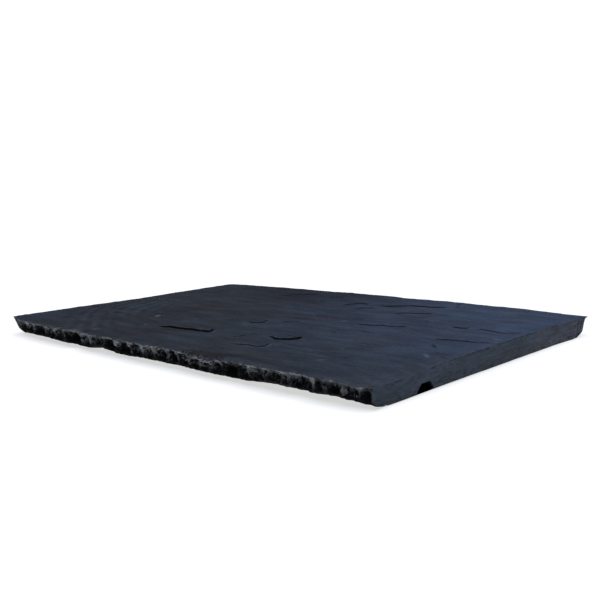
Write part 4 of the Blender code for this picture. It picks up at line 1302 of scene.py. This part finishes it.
def sawn_material():
    """The sawn side: even grey-green, with slanting saw marks; its far end is painted lighter, standing in for light
    from the right, and its foot and the chip's pocket are painted dark as shade.
    """
    material, n, shader, place = stone("slate_sawn", 0.12)
    deep, below = n.mask("deep"), n.mask("below")
    slant = n.scaled(place, (1.0, 0.10, 1.0), (math.radians(-14), 0.0, 0.0))
    saw = n.noise(slant, 330.0, 4.0, 0.6)
    mottle = n.noise(n.scaled(place, (1.0, 0.22, 1.1), (math.radians(-4), 0.0, 0.0)), 200.0, 4.0, 0.66)
    patch = n.noise(n.scaled(place, (1.0, 0.35, 1.0)), 45.0, 3.0, 0.55)
    grain = n.noise(n.scaled(place, (1.0, 0.3, 1.3)), 560.0, 3.0, 0.65)
    split = n.new("ShaderNodeSeparateXYZ")
    n.join(place, split.inputs[0])
    far = n.span(split.outputs["Y"], 0.03, 0.15)
    close = n.span(split.outputs["Y"], -0.14, 0.02, 1.0, 0.0)
    shade = total(
        n,
        1.0,
        centred(n, saw, 1.1),
        n.math("MULTIPLY", centred(n, saw, 1.6), far),
        centred(n, mottle, 1.3),
        centred(n, patch, 1.1),
        centred(n, grain, 1.3),
        n.math("MULTIPLY", n.math("MULTIPLY", n.math("SUBTRACT", 1.0, far), n.math("SUBTRACT", 1.0, close)), -0.10),
        n.math("MULTIPLY", centred(n, grain, 1.0), close),
        n.math("MULTIPLY", centred(n, mottle, 0.4), close),
    )
    # Painted light: lighter towards the far end.
    colour = n.mix(far, SAWN_NEAR + (1.0,), SAWN_FAR_PAINTED_LIGHT + (1.0,))
    colour = tinted(n, colour, n.math("MAXIMUM", shade, 0.35))
    # Darker in small flaky patches low down; painted shade along the foot, in the chip's pocket and where the deep
    # mask is set.
    flaked = n.noise(n.scaled(place, (1.0, 0.35, 1.6)), 330.0, 3.0, 0.7)
    low = n.span(n.math("ADD", below, centred(n, patch, 16.0)), 11.0, 20.0, 0.0, 0.75)
    low = n.math("MULTIPLY", low, n.span(flaked, 0.50, 0.62))
    foot = n.span(n.math("ADD", below, centred(n, mottle, 3.0)), THICKNESS - 1.6, THICKNESS - 0.4, 0.0, 0.75)
    hole = n.span(n.math("ADD", n.mask("chip"), centred(n, mottle, 1.6)), -0.9, -0.1)
    dark = n.math("MAXIMUM", n.math("MAXIMUM", deep, foot), n.math("MAXIMUM", hole, low))
    colour = n.mix(dark, colour, rgb(0.0016, 0.0016, 0.0020))
    # The split face's colour comes down over the arris here and there.
    worn = total(n, centred(n, n.noise(place, 45.0, 3.0, 0.6), 9.0), centred(n, mottle, 5.0), -1.2)
    over = n.span(n.math("ADD", worn, below), -1.0, 1.4, 0.75, 0.0)
    colour = n.mix(over, colour, tinted(n, (0.0350, 0.0430, 0.0640), n.math("MAXIMUM", shade, 0.35)))
    colour, powder = powdered(n, place, colour, False)
    n.join(colour, shader.inputs["Base Color"])
    rough = n.span(mottle, 0.3, 0.7, 0.55, 0.68)
    n.join(rough, shader.inputs["Roughness"])
    relief = total(n, n.math("MULTIPLY", saw, 0.22), n.math("MULTIPLY", mottle, 0.34), n.math("MULTIPLY", grain, 0.10))
    raised(n, shader, relief)
    return material


for finish in (cleft_material, dressed_material, sawn_material):
    mesh.materials.append(finish())


# ---------------------------------------------------------------- floor
# A faintly lit table, so that it stays pale under a dim dome.
FLOOR_GLOW = 0.62
floor_mesh = bpy.data.meshes.new("floor")
R = 40.0
floor_mesh.from_pydata([(-R, -R, 0), (R, -R, 0), (R, R, 0), (-R, R, 0)], [], [(0, 1, 2, 3)])
floor = bpy.data.objects.new("floor", floor_mesh)
bpy.context.scene.collection.objects.link(floor)
pale = bpy.data.materials.new("pale_floor")
pale.use_nodes = True
pale_shader = pale.node_tree.nodes["Principled BSDF"]
pale_shader.inputs["Base Color"].default_value = rgb(0.60, 0.60, 0.60)
pale_shader.inputs["Roughness"].default_value = 0.95
pale_shader.inputs["Specular IOR Level"].default_value = 0.0
pale_shader.inputs["Emission Color"].default_value = rgb(1.0, 1.0, 1.0)
pale_shader.inputs["Emission Strength"].default_value = FLOOR_GLOW
pale.cycles.emission_sampling = "NONE"
floor_mesh.materials.append(pale)
floor.location.z = -0.0004

# ---------------------------------------------------------------- light
# A soft studio: bright overhead, dim round the horizon, with a cool window
# beyond the far right. The camera sees a white backdrop.
OVERHEAD = 1.95
WINDOW = 0.35
world = bpy.data.worlds.new("studio")
bpy.context.scene.world = world
world.use_nodes = True
w = Nodes(world.node_tree)
w_out = w.new("ShaderNodeOutputWorld")
direction = w.new("ShaderNodeTexCoord").outputs["Generated"]
split = w.new("ShaderNodeSeparateXYZ")
w.join(direction, split.inputs[0])
height = split.outputs["Z"]
level = w.math("ADD", w.span(height, 0.62, 0.95, 0.0, OVERHEAD), 0.03)
facing = w.new("ShaderNodeVectorMath", operation="DOT_PRODUCT")
w.join(direction, facing.inputs[0])
facing.inputs[1].default_value = Vector((-0.15, 0.95, 0.30)).normalized()
glow = w.math("MULTIPLY", w.math("POWER", w.math("MAXIMUM", facing.outputs["Value"], 0.0), 14.0), WINDOW)
white = w.new("ShaderNodeVectorMath", operation="SCALE")
white.inputs[0].default_value = (0.96, 1.0, 1.10)
w.join(level, white.inputs["Scale"])
blue = w.new("ShaderNodeVectorMath", operation="SCALE")
blue.inputs[0].default_value = (0.22, 0.48, 1.0)
w.join(glow, blue.inputs["Scale"])
both = w.new("ShaderNodeVectorMath", operation="ADD")
w.join(white.outputs[0], both.inputs[0])
w.join(blue.outputs[0], both.inputs[1])
dome = w.new("ShaderNodeBackground")
w.join(both.outputs[0], dome.inputs["Color"])
backdrop = w.new("ShaderNodeBackground")
backdrop.inputs["Color"].default_value = rgb(1.05, 1.05, 1.05)
choose = w.new("ShaderNodeMixShader")
w.join(w.new("ShaderNodeLightPath").outputs["Is Camera Ray"], choose.inputs[0])
w.join(dome.outputs[0], choose.inputs[1])
w.join(backdrop.outputs[0], choose.inputs[2])
w.join(choose.outputs[0], w_out.inputs["Surface"])

# ---------------------------------------------------------------- camera
cam_data = bpy.data.cameras.new("camera")
cam = bpy.data.objects.new("camera", cam_data)
bpy.context.scene.collection.objects.link(cam)
yaw, pitch, roll = math.radians(43.783), math.radians(8.209), math.radians(-1.898)
ahead = Vector((-math.sin(yaw) * math.cos(pitch), math.cos(yaw) * math.cos(pitch), -math.sin(pitch)))
right = Vector((math.cos(yaw), math.sin(yaw), 0.0))
up = right.cross(ahead)
right, up = math.cos(roll) * right + math.sin(roll) * up, -math.sin(roll) * right + math.cos(roll) * up
cam.matrix_world = Matrix(
    (
        (right.x, up.x, -ahead.x, 0.69109),
        (right.y, up.y, -ahead.y, -0.67883),
        (right.z, up.z, -ahead.z, 0.18132),
        (0, 0, 0, 1),
    )
)
cam_data.sensor_width = 36.0
cam_data.lens = 48.225
cam_data.clip_end = 200.0
bpy.context.scene.camera = cam
bpy.context.scene.view_settings.view_transform = "Standard"
